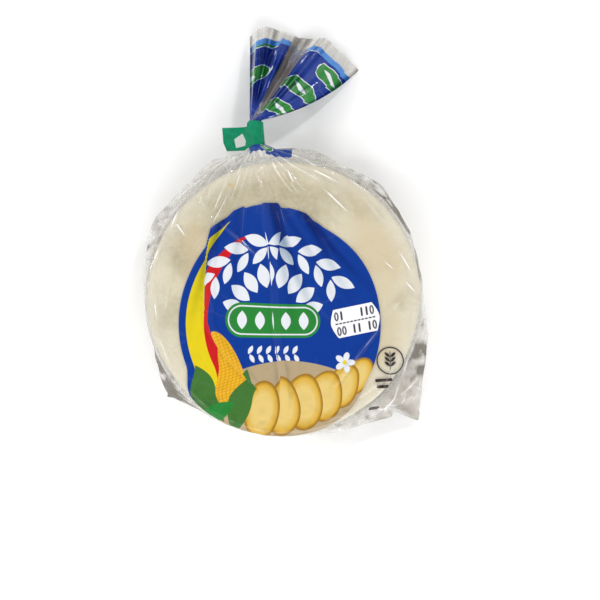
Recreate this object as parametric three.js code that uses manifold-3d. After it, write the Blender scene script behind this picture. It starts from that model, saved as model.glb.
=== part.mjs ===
// A bag of white corn arepas, lying on its back: five flat discs stacked in a film bag. The bag's mouth is
// gathered into a thin neck, closed with a strip of tape whose two ends make a flag, and fans out past it.
// Millimetres, +Z up. The origin is the middle of the flat underside. The neck and the tail point to +Y.

import * as THREE from "three";
import { mergeVertices } from "three/addons/utils/BufferGeometryUtils.js";
import Module from "manifold-3d";

const wasm = await Module();
wasm.setup();

// The stack of arepas and the film that is drawn round it
const AREPA_DIAMETER = 140;
const AREPA_THICKNESS = 7.5;
const AREPA_COUNT = 5;
const FILM_ROOM = 0.5; // how far the film stands off the arepas

const STACK_RADIUS = AREPA_DIAMETER / 2 + FILM_ROOM;
const PACK_HEIGHT = AREPA_COUNT * AREPA_THICKNESS + FILM_ROOM;
const TOP_ROUND = 3; // the film's rounding over the uppermost arepa's edge
const BASE_ROUND = 2.5;
const SIDE_LIP = 0.4; // half the thickness of the folded edge where the upper and lower film meet
const SEAM_HEIGHT = PACK_HEIGHT / 2; // that edge's height, where nothing pulls it up or down
const SCALLOP = 0.7; // how deep the film sinks in between two arepas
const SLACK_WIDTH = 2; // film that stands this far off the stack no longer shows the arepas' edges
const ROUND_STEPS = 3;
const WALL_STEPS = 8;
const SECTION_SPACING = 4.2; // degrees between two radial sections
const CLOSE_SPACING = 1.5; // the same where the film is pleated, and at the free corner

// The bag's outline seen from above is a polygon of taut stretches of film, as [direction, distance]: the
// direction that the stretch faces, in degrees from +X, and how far it runs from the middle of the stack.
const TAUT_EDGES = [
  [10, 71.3],
  [31, 73.2], // right shoulder
  [62, 75.9],
  [88, 78.0], // either side of the neck
  [100, 77.0],
  [134, 76.9], // left shoulder
  [158, 77.3],
  [173, 73.5],
  [190, 71.3],
  [208, 75.6], // bottom left corner, folded under
  [225, 76.2],
  [246, 71.3],
  [262, 71.3],
  [272, 71.5],
  [282, 75.2], // bottom right corner, standing out
  [356, 77.0],
];
const EDGE_SHARPNESS = 60; // power of the smooth minimum over the stretches: more is a sharper polygon

// Where the folded edge is pulled away from SEAM_HEIGHT, as [direction, half width in degrees, height]
const FREE_CORNER = 317;
const EDGE_PULLS = [
  [99, 26, 24], // up to the neck
  [FREE_CORNER, 20, 5], // the free corner droops to the table
  [218, 14, 12],
];
const CORNER_REACH = 12; // degrees either side of the free corner that are modelled closely

// The neck
const NECK_CENTRE = new THREE.Vector3(-14.3, 85.3, 24);
const NECK_LEAN = THREE.MathUtils.degToRad(4.65); // how far it leans left of +Y
const NECK_RADIUS = 3.2;
const NECK_FLUTES = 11;
const FLUTE_DEPTH = 0.25;
const NECK_POINTS = 56; // points round the gathered film
// The throat below the tape, as [distance below it, half width, half height] of its oval
const THROAT = [
  [6.5, 15, 6.5],
  [4, 10, 5.2],
  [2, 6, 4.2],
  [0.7, 3.8, 3.5],
];
const PLEATS = 15; // pleats in the film between the neck and the stack, over the shoulders
const PLEAT_DEPTH = 0.9;
const PLEAT_REACH = 34; // degrees either side of the neck

// The tail past the tape: a ruffled fan whose rays spread from the neck
const TAIL_LEFT_RAY = 91; // degrees from +X
const TAIL_RIGHT_RAY = 31;
const TAIL_LEFT_LENGTH = 50;
const TAIL_RIGHT_LENGTH = 61;
const TAIL_DROP = 14.6; // the fan comes down to the table
const DROP_CURVE = 1.3; // more than 1 bends it down towards its mouth
const TAIL_THICKNESS = 1.6;
const TAIL_SQUARENESS = 0.35; // 1 is an oval section, 0 a flat sheet with square sides
const SPREAD_REACH = 0.4; // the round neck has become the flat fan at this share of its length
const TAIL_STEPS = 12;
const RUFFLE_DEPTH = 8;
const RUFFLE_PERIOD = 1.05; // in half widths of the fan
const FIRST_RIDGE = -0.7; // in half widths from the fan's middle

// The tape round the neck, 12 mm wide, and the flag made by its two ends
const TAPE_CLEARANCE = 0.3;
const TAPE_WALL = 0.5;
const BAND_HEIGHT = 13;
const FLAG_TOP = 3.7;
const FLAG_BOTTOM = -8.4;
const FLAG_END = 17.8; // how far the flag reaches from the neck's axis
const FLAG_THICKNESS = 0.5;
const FLAG_CHAMFER = [1.6, 4.4];
const FLAG_OVERLAP = 1.5; // the flag runs this far back into the band
const PINCH = 8; // the two layers meet this far from the axis
const FLAG_RISE = THREE.MathUtils.degToRad(12);
const BAND_SEGMENTS = 32;
// The window that the dispenser's teeth tore in the tape beside the neck, as [across, along] corners
const WINDOW_CORNERS = [
  [-7.3, 0.5],
  [-11.7, -2.3],
  [-11.2, -7],
  [-6.3, -6],
  [-5.8, -3.4],
];

// The price-gun label stuck on the bag's face
const LABEL_WIDTH = 26;
const LABEL_HEIGHT = 14.6;
const LABEL_THICKNESS = 0.3;
const LABEL_CENTRE = [36.5, -11.5];
const LABEL_TURN = THREE.MathUtils.degToRad(11.6);
const LABEL_WAVE = 0.9; // depth of the waves cut in its ends
const LABEL_WAVES = 2; // on each end
const LABEL_STEPS = 10;

const lerp = THREE.MathUtils.lerp;
const radians = THREE.MathUtils.degToRad;

// The shortest way round from b to a, in degrees
function turnBetween(a, b) {
  return ((((a - b) % 360) + 540) % 360) - 180;
}

// A bell of the given half width, 1 in its middle
function bell(degreesAway, halfWidth) {
  return Math.exp(-((degreesAway / halfWidth) ** 2));
}

const neckDirection = THREE.MathUtils.radToDeg(Math.atan2(NECK_CENTRE.y, NECK_CENTRE.x));

// How far the bag's folded edge is from the middle, in a direction in degrees
function outlineRadius(direction) {
  let sum = 0;
  for (const [facing, distance] of TAUT_EDGES) {
    const across = Math.cos(radians(direction - facing));
    if (across > 0) {
      sum += (across / distance) ** EDGE_SHARPNESS;
    }
  }
  return Math.max(STACK_RADIUS + SIDE_LIP, sum ** (-1 / EDGE_SHARPNESS));
}

function edgeHeight(direction) {
  let height = SEAM_HEIGHT;
  for (const [middle, halfWidth, pulledTo] of EDGE_PULLS) {
    height = lerp(height, pulledTo, bell(turnBetween(direction, middle), halfWidth));
  }
  return height;
}

// Film that lies close to the stack sinks in between the arepas
function scallop(height, standOff) {
  const layer = Math.sin((Math.PI * height) / AREPA_THICKNESS);
  return SCALLOP * (1 - Math.abs(layer)) * Math.exp(-standOff / SLACK_WIDTH);
}

// Pleats run from the neck over the shoulders. halfway is 0 at either end of the wall and 1 in the middle
function pleat(direction, halfway) {
  const away = turnBetween(direction, neckDirection);
  if (Math.abs(away) > PLEAT_REACH) {
    return 0;
  }
  const fade = Math.cos((Math.PI * away) / (2 * PLEAT_REACH));
  return PLEAT_DEPTH * fade * halfway * Math.cos((Math.PI * PLEATS * away) / PLEAT_REACH);
}

// The rounding over an edge of the stack, as [distance in, distance down], from the flat face to the wall
function rounding(size) {
  const points = [];
  for (let k = 0; k <= ROUND_STEPS; k++) {
    const turn = (Math.PI / 2) * (k / ROUND_STEPS);
    points.push([size * (1 - Math.sin(turn)), size * (1 - Math.cos(turn))]);
  }
  return points;
}

// The wall from the stack's edge out to the folded edge, as [radius, z]
function wallHalf(direction, stackZ, foldZ) {
  const outer = outlineRadius(direction);
  const points = [];
  for (let k = 0; k <= WALL_STEPS; k++) {
    const t = k / WALL_STEPS;
    const z = lerp(stackZ, foldZ, t);
    const halfway = Math.sin(Math.PI * t);
    const sunk = scallop(z, outer - STACK_RADIUS) * halfway;
    points.push([lerp(STACK_RADIUS, outer, t) - sunk + pleat(direction, halfway), z]);
  }
  return points;
}

// One radial section of the bag, from the edge of its flat top to the edge of its flat base, as [radius, z]
function radialSection(direction) {
  const seam = edgeHeight(direction);
  const top = rounding(TOP_ROUND).map(([inwards, down]) => [STACK_RADIUS - inwards, PACK_HEIGHT - down]);
  const base = rounding(BASE_ROUND).map(([inwards, down]) => [STACK_RADIUS - inwards, down]);
  const upper = wallHalf(direction, PACK_HEIGHT - TOP_ROUND, seam + SIDE_LIP);
  const lower = wallHalf(direction, BASE_ROUND, seam - SIDE_LIP);
  return [...top, ...upper.slice(1), ...lower.reverse(), ...base.reverse().slice(1)];
}

// The directions of the sections, closer together where the film is pleated and at the free corner
function sectionDirections() {
  const directions = [];
  let direction = 0;
  while (direction < 360 - SECTION_SPACING / 2) {
    directions.push(direction);
    const atNeck = Math.abs(turnBetween(direction, neckDirection)) < PLEAT_REACH;
    const atCorner = Math.abs(turnBetween(direction, FREE_CORNER)) < CORNER_REACH;
    direction += atNeck || atCorner ? CLOSE_SPACING : SECTION_SPACING;
  }
  return directions;
}

// A closed solid from rings of points. Each ring has the same number of points, and both ends get a cap
function solidFromRings(rings) {
  const count = rings[0].length;
  const vertices = rings.flat(2);
  const faces = [];
  for (let i = 0; i + 1 < rings.length; i++) {
    for (let j = 0; j < count; j++) {
      const next = (j + 1) % count;
      const [a, b] = [i * count + j, i * count + next];
      const [c, d] = [a + count, b + count];
      faces.push(a, c, b, b, c, d);
    }
  }
  for (const [ring, turned] of [[0, false], [rings.length - 1, true]]) {
    const middle = vertices.length / 3;
    for (let axis = 0; axis < 3; axis++) {
      vertices.push(rings[ring].reduce((sum, point) => sum + point[axis], 0) / count);
    }
    for (let j = 0; j < count; j++) {
      const [a, b] = [ring * count + j, ring * count + ((j + 1) % count)];
      faces.push(...(turned ? [middle, b, a] : [middle, a, b]));
    }
  }
  const geometry = new THREE.BufferGeometry();
  geometry.setAttribute("position", new THREE.Float32BufferAttribute(vertices, 3));
  geometry.setIndex(faces);
  return toSolid(geometry);
}

// A three.js geometry as a manifold solid, turned the right way out
function toSolid(geometry) {
  const bare = geometry.clone();
  bare.deleteAttribute("normal");
  bare.deleteAttribute("uv");
  const merged = mergeVertices(bare, 1e-4);
  const make = (triVerts) =>
    new wasm.Manifold(
      new wasm.Mesh({ numProp: 3, vertProperties: merged.attributes.position.array, triVerts }),
    );
  const corners = new Uint32Array(merged.index.array);
  const solid = make(corners);
  return solid.volume() > 0 ? solid : make(corners.reverse());
}

function toMesh(name, solid, material) {
  const { numProp, numVert, vertProperties, triVerts } = solid.getMesh();
  const positions = new Float32Array(numVert * 3);
  for (let i = 0; i < numVert; i++) {
    positions.set(vertProperties.subarray(i * numProp, i * numProp + 3), i * 3);
  }
  const geometry = new THREE.BufferGeometry();
  geometry.setAttribute("position", new THREE.BufferAttribute(positions, 3));
  geometry.setIndex(new THREE.BufferAttribute(triVerts, 1));
  geometry.computeVertexNormals();
  const mesh = new THREE.Mesh(geometry, material);
  mesh.name = name;
  return mesh;
}

// The film body round the stack
function bodySolid() {
  const columns = sectionDirections().map((direction) => {
    const [x, y] = [Math.cos(radians(direction)), Math.sin(radians(direction))];
    return radialSection(direction).map(([radius, z]) => [radius * x, radius * y, z]);
  });
  const rings = columns[0].map((_, row) => columns.map((column) => column[row]));
  return solidFromRings(rings);
}

const lengthwise = new THREE.Vector3(-Math.sin(NECK_LEAN), Math.cos(NECK_LEAN), 0);
const crosswise = new THREE.Vector3(Math.cos(NECK_LEAN), Math.sin(NECK_LEAN), 0);

// A point by the neck, from its distance along the axis, to the right of it and above it
function byNeck(along, across, up) {
  return NECK_CENTRE.clone()
    .addScaledVector(lengthwise, along)
    .addScaledVector(crosswise, across)
    .add(new THREE.Vector3(0, 0, up));
}

// One ring of the gathered film, an oval with flutes
function neckRing(along, halfWidth, halfHeight) {
  const ring = [];
  for (let j = 0; j < NECK_POINTS; j++) {
    const turn = (2 * Math.PI * j) / NECK_POINTS;
    const flute = 1 - (FLUTE_DEPTH / NECK_RADIUS) * (1 + Math.cos(NECK_FLUTES * turn)) * 0.5;
    const place = byNeck(along, flute * halfWidth * Math.cos(turn), flute * halfHeight * Math.sin(turn));
    ring.push(place.toArray());
  }
  return ring;
}

function ruffle(across) {
  return Math.cos((2 * Math.PI * (across - FIRST_RIDGE)) / RUFFLE_PERIOD);
}

// One ring of the fan. reach runs from 0 at the tape to 1 at the bag's mouth
function tailRing(reach) {
  const spread = Math.min(1, reach / SPREAD_REACH);
  const halfThickness = lerp(NECK_RADIUS, TAIL_THICKNESS / 2, spread);
  const squareness = lerp(1, TAIL_SQUARENESS, spread);
  const drop = TAIL_DROP * reach ** DROP_CURVE;
  const ring = [];
  for (let j = 0; j < NECK_POINTS; j++) {
    const turn = (2 * Math.PI * j) / NECK_POINTS;
    const across = Math.cos(turn);
    const share = (across + 1) / 2;
    const ray = radians(lerp(TAIL_LEFT_RAY, TAIL_RIGHT_RAY, share));
    const distance = reach * lerp(TAIL_LEFT_LENGTH, TAIL_RIGHT_LENGTH, share);
    const side = Math.sign(Math.sin(turn)) * Math.abs(Math.sin(turn)) ** squareness;
    const up = halfThickness * side + RUFFLE_DEPTH * reach * ruffle(across) - drop;
    const place = byNeck(BAND_HEIGHT / 2 + TAPE_WALL, NECK_RADIUS * across, up);
    const ahead = new THREE.Vector3(Math.cos(ray), Math.sin(ray), 0);
    ring.push(place.addScaledVector(ahead, distance).toArray());
  }
  return ring;
}

// The gathered film: from inside the body, through the tape, to the bag's open mouth
function gatherSolid() {
  const bandEnd = BAND_HEIGHT / 2;
  const rings = THROAT.map(([below, width, height]) => neckRing(-bandEnd - below, width, height));
  rings.push(neckRing(-bandEnd, NECK_RADIUS, NECK_RADIUS));
  rings.push(neckRing(bandEnd, NECK_RADIUS, NECK_RADIUS));
  for (let k = 0; k <= TAIL_STEPS; k++) {
    rings.push(tailRing(k / TAIL_STEPS));
  }
  return solidFromRings(rings);
}

// The tape's section across the neck: round the neck, with its two layers drawn together at the left
function bandSection() {
  const inner = NECK_RADIUS + TAPE_CLEARANCE;
  const outer = inner + TAPE_WALL;
  const half = FLAG_THICKNESS / 2;
  const tangent = Math.PI - Math.acos(outer / PINCH);
  const shape = new THREE.Shape();
  shape.moveTo(-PINCH, half);
  shape.lineTo(-PINCH, -half);
  shape.absarc(0, 0, outer, -tangent, tangent, false);
  shape.closePath();
  const hole = new THREE.Path();
  hole.absarc(0, 0, inner, 0, 2 * Math.PI, true);
  shape.holes.push(hole);
  return shape;
}

// The flag's outline, seen from above
function flagSection() {
  const [chamferAcross, chamferUp] = FLAG_CHAMFER;
  const inner = -PINCH + FLAG_OVERLAP;
  return outlineOf([
    [inner, FLAG_TOP],
    [-FLAG_END, FLAG_TOP],
    [-FLAG_END, FLAG_BOTTOM + chamferUp],
    [-FLAG_END + chamferAcross, FLAG_BOTTOM],
    [inner, FLAG_BOTTOM],
  ]);
}

function outlineOf(corners) {
  return new THREE.Shape(corners.map(([x, y]) => new THREE.Vector2(x, y)));
}

function plate(outline, thickness, curveSegments = 1) {
  const options = { depth: thickness, bevelEnabled: false, curveSegments };
  const geometry = new THREE.ExtrudeGeometry(outline, options);
  geometry.translate(0, 0, -thickness / 2);
  return geometry;
}

function tapeSolid() {
  const band = plate(bandSection(), BAND_HEIGHT, BAND_SEGMENTS);
  band.rotateX(Math.PI / 2);
  const flag = plate(flagSection(), FLAG_THICKNESS);
  const window = plate(outlineOf(WINDOW_CORNERS), 4 * PINCH);
  return toSolid(band).add(toSolid(flag)).subtract(toSolid(window));
}

// The label: straight sides, and ends cut in a wave
function labelSolid() {
  const corners = [];
  for (const side of [1, -1]) {
    for (let k = 0; k <= LABEL_STEPS; k++) {
      const t = k / LABEL_STEPS;
      const cut = LABEL_WAVE * (1 + Math.cos(2 * Math.PI * LABEL_WAVES * t));
      corners.push([side * (LABEL_WIDTH / 2 - cut), side * (t - 0.5) * LABEL_HEIGHT]);
    }
  }
  return toSolid(plate(outlineOf(corners), LABEL_THICKNESS));
}

const filmMaterial = new THREE.MeshStandardMaterial({ color: 0xded5bf, roughness: 0.35, metalness: 0 });
const tapeMaterial = new THREE.MeshStandardMaterial({ color: 0x0f8f68, roughness: 0.45, metalness: 0 });
const paperMaterial = new THREE.MeshStandardMaterial({ color: 0xf1f0ee, roughness: 0.75, metalness: 0 });

const arepaPack = new THREE.Group();

const bag = toMesh("bag", bodySolid().add(gatherSolid()), filmMaterial);
arepaPack.add(bag);

const neckFrame = new THREE.Group();
neckFrame.position.copy(NECK_CENTRE);
neckFrame.rotation.z = NECK_LEAN;
const tape = toMesh("closure_tape", tapeSolid(), tapeMaterial);
tape.rotation.y = FLAG_RISE;
neckFrame.add(tape);
arepaPack.add(neckFrame);

const label = toMesh("date_label", labelSolid(), paperMaterial);
label.position.set(...LABEL_CENTRE, PACK_HEIGHT + LABEL_THICKNESS / 2);
label.rotation.z = LABEL_TURN;
arepaPack.add(label);

export default arepaPack;
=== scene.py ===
# %% [markdown]
# # A bag of white corn arepas
#
# Five flat white corn arepas lie in a film bag, printed side up. The bag's mouth is gathered into a thin
# neck, closed with green tape, and fans out past it into a ruffled tail. The solids of the bag come in as
# a fixed frame. Their form is simple, so this script replaces them with thin film that is wrinkled and
# printed, with the arepas that show through it, and with a finer tape and label, all in the same place.

# %% Load the frame
import math

import bmesh
import bpy
import numpy as np
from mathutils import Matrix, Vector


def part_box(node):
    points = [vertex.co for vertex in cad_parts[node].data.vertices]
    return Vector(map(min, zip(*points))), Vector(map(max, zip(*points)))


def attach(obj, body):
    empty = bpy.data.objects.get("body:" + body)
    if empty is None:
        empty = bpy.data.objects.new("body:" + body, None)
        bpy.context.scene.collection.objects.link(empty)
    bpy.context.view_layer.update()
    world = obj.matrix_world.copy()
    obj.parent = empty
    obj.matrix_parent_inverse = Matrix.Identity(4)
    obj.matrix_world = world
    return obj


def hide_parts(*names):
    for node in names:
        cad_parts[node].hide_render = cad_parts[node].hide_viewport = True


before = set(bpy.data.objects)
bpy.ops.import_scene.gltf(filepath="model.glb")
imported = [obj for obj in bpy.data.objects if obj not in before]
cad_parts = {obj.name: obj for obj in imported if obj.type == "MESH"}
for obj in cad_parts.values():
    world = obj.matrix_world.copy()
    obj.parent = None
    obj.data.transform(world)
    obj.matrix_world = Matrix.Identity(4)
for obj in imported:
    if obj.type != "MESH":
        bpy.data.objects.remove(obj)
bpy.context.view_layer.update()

print("solids:", sorted(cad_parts))

# %% [markdown]
# ## Sizes
#
# Lengths in this script are millimetres until a mesh is made, because that is how the bag was measured.
# The pack's height comes from the frame. The stack's radius and the neck's place are the driving
# dimensions that the solids were made from. The film's taut edges follow the solids', but where the walls
# are seen in perspective they stand up to 4 mm further out.

# %% Sizes that the pieces share
MM = 0.001  # metres in a millimetre
PACK_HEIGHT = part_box("bag")[1].z / MM
STACK_RADIUS = 70.5  # of the film where it lies against the arepas
TOP_ROUND = 3.0  # how round the film is at the rim of the upper face
BASE_ROUND = 2.5
SEAM_HEIGHT = PACK_HEIGHT / 2  # of the flat tube's folded edge
AREPA_COUNT = 5
NECK_CENTRE = np.array([-14.3, 85.3, 24.0])
NECK_LEAN = math.radians(4.65)
NECK_RADIUS = 3.1
NECK_LENGTH = 13.0
print(f"pack {PACK_HEIGHT:.1f} mm high, stack {2 * STACK_RADIUS:.0f} mm across in its film")

# %% [markdown]
# ## Camera
#
# The photograph looks straight down on the pack from less than half a metre. The camera stands over the
# middle of the picture, which isn't quite the middle of the stack, and its lens is worked out from what
# the picture is wide in the plane of the bag's upper face.

# %% Camera
CAMERA_HEIGHT = 450.0  # above the bag's upper face
PICTURE_WIDTH = 303.2  # in the plane of that face
PICTURE_CENTRE = (8.3, -1.3)
SENSOR_WIDTH = 36.0

camera = bpy.data.objects.new("camera", bpy.data.cameras.new("camera"))
camera.data.sensor_width = SENSOR_WIDTH
camera.data.lens = SENSOR_WIDTH * CAMERA_HEIGHT / PICTURE_WIDTH
camera.location = [v * MM for v in (*PICTURE_CENTRE, PACK_HEIGHT + CAMERA_HEIGHT)]
bpy.context.scene.collection.objects.link(camera)
bpy.context.scene.camera = camera
print(f"lens {camera.data.lens:.1f} mm")

# %% [markdown]
# ## Light
#
# Film shows itself by what it mirrors. A large soft light gives the arepas their even look, a small
# bright lamp glints along the folds, whose thin white lines the film's material also paints, partly as
# crease whitening and partly as painted highlights, and a world that is bright above and darker low
# down gives the bag's steep sides something grey to mirror.


# %% Lights and world
def aim_light(name, place, size, watts):
    """A square light that looks at the origin. place and size are in metres."""
    light = bpy.data.objects.new(name, bpy.data.lights.new(name, "AREA"))
    light.data.shape = "SQUARE"
    light.data.size = size
    light.data.energy = watts
    light.location = place
    light.rotation_euler = (-light.location).to_track_quat("-Z", "Y").to_euler()
    bpy.context.scene.collection.objects.link(light)


aim_light("soft_light", place=(0.12, -0.66, 0.84), size=0.7, watts=4.8)
aim_light("lamp", place=(0.42, 0.62, 0.80), size=0.09, watts=2.1)
aim_light("side_lamp", place=(-0.75, 0.10, 0.55), size=0.12, watts=1.5)


def build_world(greys):
    """greys maps a height in the sky, from 0 level to 1 overhead, to a brightness."""
    world = bpy.data.worlds.new("studio")
    world.use_nodes = True
    nodes, links = world.node_tree.nodes, world.node_tree.links
    coordinates = nodes.new("ShaderNodeTexCoord")
    split = nodes.new("ShaderNodeSeparateXYZ")
    ramp = nodes.new("ShaderNodeValToRGB")
    stops = ramp.color_ramp.elements
    while len(stops) < len(greys):
        stops.new(0.5)
    for stop, (height, grey) in zip(stops, greys.items()):
        stop.position = height
        stop.color = (grey, grey, grey, 1)
    links.new(coordinates.outputs["Generated"], split.inputs[0])
    links.new(split.outputs["Z"], ramp.inputs["Fac"])
    links.new(ramp.outputs["Color"], nodes["Background"].inputs["Color"])
    bpy.context.scene.world = world


build_world({0.0: 0.50, 0.45: 1.0, 0.80: 0.82, 1.0: 0.20})
bpy.context.scene.view_settings.view_transform = "Standard"

# %% [markdown]
# ## Helpers for meshes
#
# Most pieces here are sheets, so one helper turns rows of points into a mesh. The points are computed
# with NumPy for the whole sheet at once, which is quick and keeps each rule on one line. Wrinkles come
# from a small lattice noise: random heights on a grid, joined smoothly. Its ridged form, one minus the
# size of the noise, has the sharp crests of creased film, and the same grid joined by flat triangles has
# its facets.

# %% Sheets from rows of points
FLAT_MAP = "flat_film"  # the UV map that says where a point is when its sheet is laid flat, in metres


def sheet_from_rows(name, points, wraps=False, flat=None, pole=None):
    """A mesh from points[row, column], in millimetres. wraps joins the last column to the first, flat is a UV
    map in millimetres with one more column where it wraps, and pole is a point that closes the first row, at
    the flat sheet's origin."""
    rows, columns = points.shape[:2]
    spans = columns if wraps else columns - 1
    row, column = np.meshgrid(np.arange(rows - 1), np.arange(spans), indexing="ij")
    corner_row = np.stack([row, row + 1, row + 1, row], -1).reshape(-1, 4)
    corner_column = np.stack([column, column, column + 1, column + 1], -1).reshape(-1, 4)
    faces = (corner_row * columns + corner_column % columns).tolist()
    vertices = points.reshape(-1, 3) * MM
    if pole is not None:
        vertices = np.vstack([vertices, np.array(pole) * MM])
        middle = len(vertices) - 1
        faces += [[middle, c, (c + 1) % columns] for c in range(spans)]
    mesh = bpy.data.meshes.new(name)
    mesh.from_pydata(vertices.tolist(), [], faces)
    if flat is not None:
        corners = flat[corner_row, corner_column].reshape(-1, 2)
        if pole is not None:
            first = np.stack([np.zeros((spans, 2)), flat[0, :spans], flat[0, 1 : spans + 1]], 1)
            corners = np.vstack([corners, first.reshape(-1, 2)])
        layer = mesh.uv_layers.new(name=FLAT_MAP)
        layer.uv.foreach_set("vector", (corners * MM).astype(np.float32).ravel())
    mesh.shade_smooth()
    piece = bpy.data.objects.new(name, mesh)
    bpy.context.scene.collection.objects.link(piece)
    return piece


def add_mask(piece, name, values):
    """Keeps a number for each vertex, for the piece's material to read."""
    layer = piece.data.attributes.new(name, "FLOAT", "POINT")
    layer.data.foreach_set("value", np.asarray(values, np.float32).ravel())


def thicken(piece, thickness, offset):
    """Gives a sheet a thickness in millimetres: half to each side with offset 0, all outwards with 1."""
    solid = piece.modifiers.new("thickness", "SOLIDIFY")
    solid.thickness = thickness * MM
    solid.offset = offset


def settle_modifiers(piece):
    """Turns what the modifiers make into the piece's plain mesh and removes them."""
    made = bpy.data.meshes.new_from_object(piece.evaluated_get(bpy.context.evaluated_depsgraph_get()))
    piece.modifiers.clear()
    piece.data = made
    print(f"{piece.name}: {len(made.polygons)} faces")


# %% Noise and smooth steps
NOISE_SIDE = 128  # unit squares after which noise repeats
CRUMPLE_OCTAVES = 3


def smooth_step(low, high, values):
    t = np.clip((values - low) / (high - low), 0, 1)
    return t * t * (3 - 2 * t)


def unit_squares(x, y, seed):
    """How far each point is across and up its unit square, and random heights from -1 to 1 at the square's
    lower left, lower right, upper left and upper right corner."""
    table = np.random.default_rng(seed).uniform(-1, 1, (NOISE_SIDE, NOISE_SIDE))
    column, row = np.floor(x).astype(int), np.floor(y).astype(int)
    left, right = column % NOISE_SIDE, (column + 1) % NOISE_SIDE
    low, high = row % NOISE_SIDE, (row + 1) % NOISE_SIDE
    return x - column, y - row, table[left, low], table[right, low], table[left, high], table[right, high]


def lattice_noise(x, y, seed):
    """Smooth random heights from -1 to 1, about one bump to each unit square."""
    u, v, low_left, low_right, high_left, high_right = unit_squares(x, y, seed)
    u, v = smooth_step(0, 1, u), smooth_step(0, 1, v)
    low = low_left * (1 - u) + low_right * u
    high = high_left * (1 - u) + high_right * u
    return low * (1 - v) + high * v


def crest_noise(x, y, seed):
    """Noise between -1 and 1 with sharp crests."""
    return 1 - 2 * np.abs(lattice_noise(x, y, seed)) ** 0.8


def turned_axes(x, y, turn):
    """x and y as seen in axes turned by some radians."""
    return x * math.cos(turn) + y * math.sin(turn), y * math.cos(turn) - x * math.sin(turn)


def facets(x, y, size, turned, seed):
    """Random heights from -1 to 1 joined by flat triangles, as crumpled film joins its creases. The triangles
    are about size millimetres wide, in an uneven grid turned by some degrees."""
    x, y = turned_axes(x, y, math.radians(turned))
    x, y = x / size, y / size
    x = x + 0.4 * lattice_noise(x * 0.7, y * 0.7, seed + 1)
    y = y + 0.4 * lattice_noise(x * 0.7, y * 0.7, seed + 2)
    u, v, low_left, right, above, high_right = unit_squares(x, y, seed)
    upper = u + v > 1
    near = np.where(upper, high_right, low_left)
    u, v = np.where(upper, 1 - v, u), np.where(upper, 1 - u, v)
    return near + u * (right - near) + v * (above - near)


def crumple(x, y, size, seed):
    """Sharp crests between 0 and 1, the largest about size millimetres apart."""
    total, weight = 0, 0
    for octave in range(CRUMPLE_OCTAVES):
        scale, share = 1.9**octave / size, 0.55**octave
        across, along = turned_axes(x, y, 0.9 * octave + 0.4)
        heights = lattice_noise(across * scale, along * scale, seed + octave)
        total = total + share * (1 - np.abs(heights)) ** 2
        weight += share
    return total / weight


# %% [markdown]
# ## Helpers for materials
#
# The print on the film is made of simple shapes, and each shape is a formula on the flat film's
# coordinates. Written as bare nodes such formulas are hard to read, so a small class lets Python's own
# signs add the Math nodes. Shapes that many motifs and more than one material use are node groups with
# named inputs: a leaf, an oval and a bar. Each group puts out a mask, and the materials turn masks into
# colour.


# %% Sums on sockets
class Field:
    """A number that changes over a surface. Python's signs on it add Math nodes to its tree."""

    def __init__(self, tree, socket):
        self.tree = tree
        self.socket = socket

    def math(self, operation, *others, clamp=False):
        made = self.tree.nodes.new("ShaderNodeMath")
        made.operation = operation
        made.use_clamp = clamp
        for slot, value in zip(made.inputs, (self, *others)):
            if isinstance(value, Field):
                self.tree.links.new(value.socket, slot)
            else:
                slot.default_value = value
        return Field(self.tree, made.outputs[0])

    def __add__(self, other):
        return self.math("ADD", other)

    def __sub__(self, other):
        return self.math("SUBTRACT", other)

    def __mul__(self, other):
        return self.math("MULTIPLY", other)

    def __rsub__(self, other):
        return self.math("MULTIPLY_ADD", -1.0, other)

    def __pow__(self, other):
        return self.math("POWER", other)

    def __abs__(self):
        return self.math("ABSOLUTE")

    def most(self, other):
        return self.math("MAXIMUM", other)

    def least(self, other):
        return self.math("MINIMUM", other)

    def inside(self, softness):
        """1 where the number is above 0, with an edge as wide as softness."""
        return self.math("MULTIPLY_ADD", 1 / softness, 0.5, clamp=True)


def plain(value):
    """A field's socket, or any other value as it is."""
    return value.socket if isinstance(value, Field) else value


# %% Nodes
def add_node(tree, kind, values=(), **settings):
    """Adds a node, sets its properties, and fills its inputs with plain values, sockets or fields."""
    made = tree.nodes.new(kind)
    for name, value in settings.items():
        setattr(made, name, value)
    for name, value in dict(values).items():
        source = plain(value)
        if isinstance(source, bpy.types.NodeSocket):
            tree.links.new(source, made.inputs[name])
        else:
            made.inputs[name].default_value = source
    return made


def number_from(made, output):
    """One of a node's outputs, as a field."""
    return Field(made.id_data, made.outputs[output])


def mask_of(made):
    return number_from(made, "Mask")


def vector_math(tree, operation, first, second=None):
    """What a Vector Math node makes of one or two vectors, or of a vector and a scale."""
    values = {0: first}
    if second is not None:
        values["Scale" if operation == "SCALE" else 1] = second
    made = add_node(tree, "ShaderNodeVectorMath", values, operation=operation)
    if operation in ("DOT_PRODUCT", "LENGTH", "DISTANCE"):
        return number_from(made, "Value")
    return made.outputs["Vector"]


def part_along(tree, vector, axis):
    """One part of a vector, by a dot product. Separate XYZ would keep its unused third output in the render's
    small store of shader values for every shape, and a print with many shapes would overflow it and turn
    black."""
    return vector_math(tree, "DOT_PRODUCT", vector, [1.0 if k == axis else 0.0 for k in range(3)])


def join_parts(tree, **parts):
    """A vector from its parts, which are named X, Y and Z."""
    return add_node(tree, "ShaderNodeCombineXYZ", parts).outputs[0]


def add_noise(tree, place, scale, detail, seed=None):
    """Noise with about scale bumps in a unit of place. Each seed gives another pattern of the same kind."""
    values = {"Vector": place, "Scale": scale, "Detail": detail}
    if seed is None:
        return add_node(tree, "ShaderNodeTexNoise", values)
    return add_node(tree, "ShaderNodeTexNoise", {**values, "W": seed}, noise_dimensions="4D")


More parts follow.
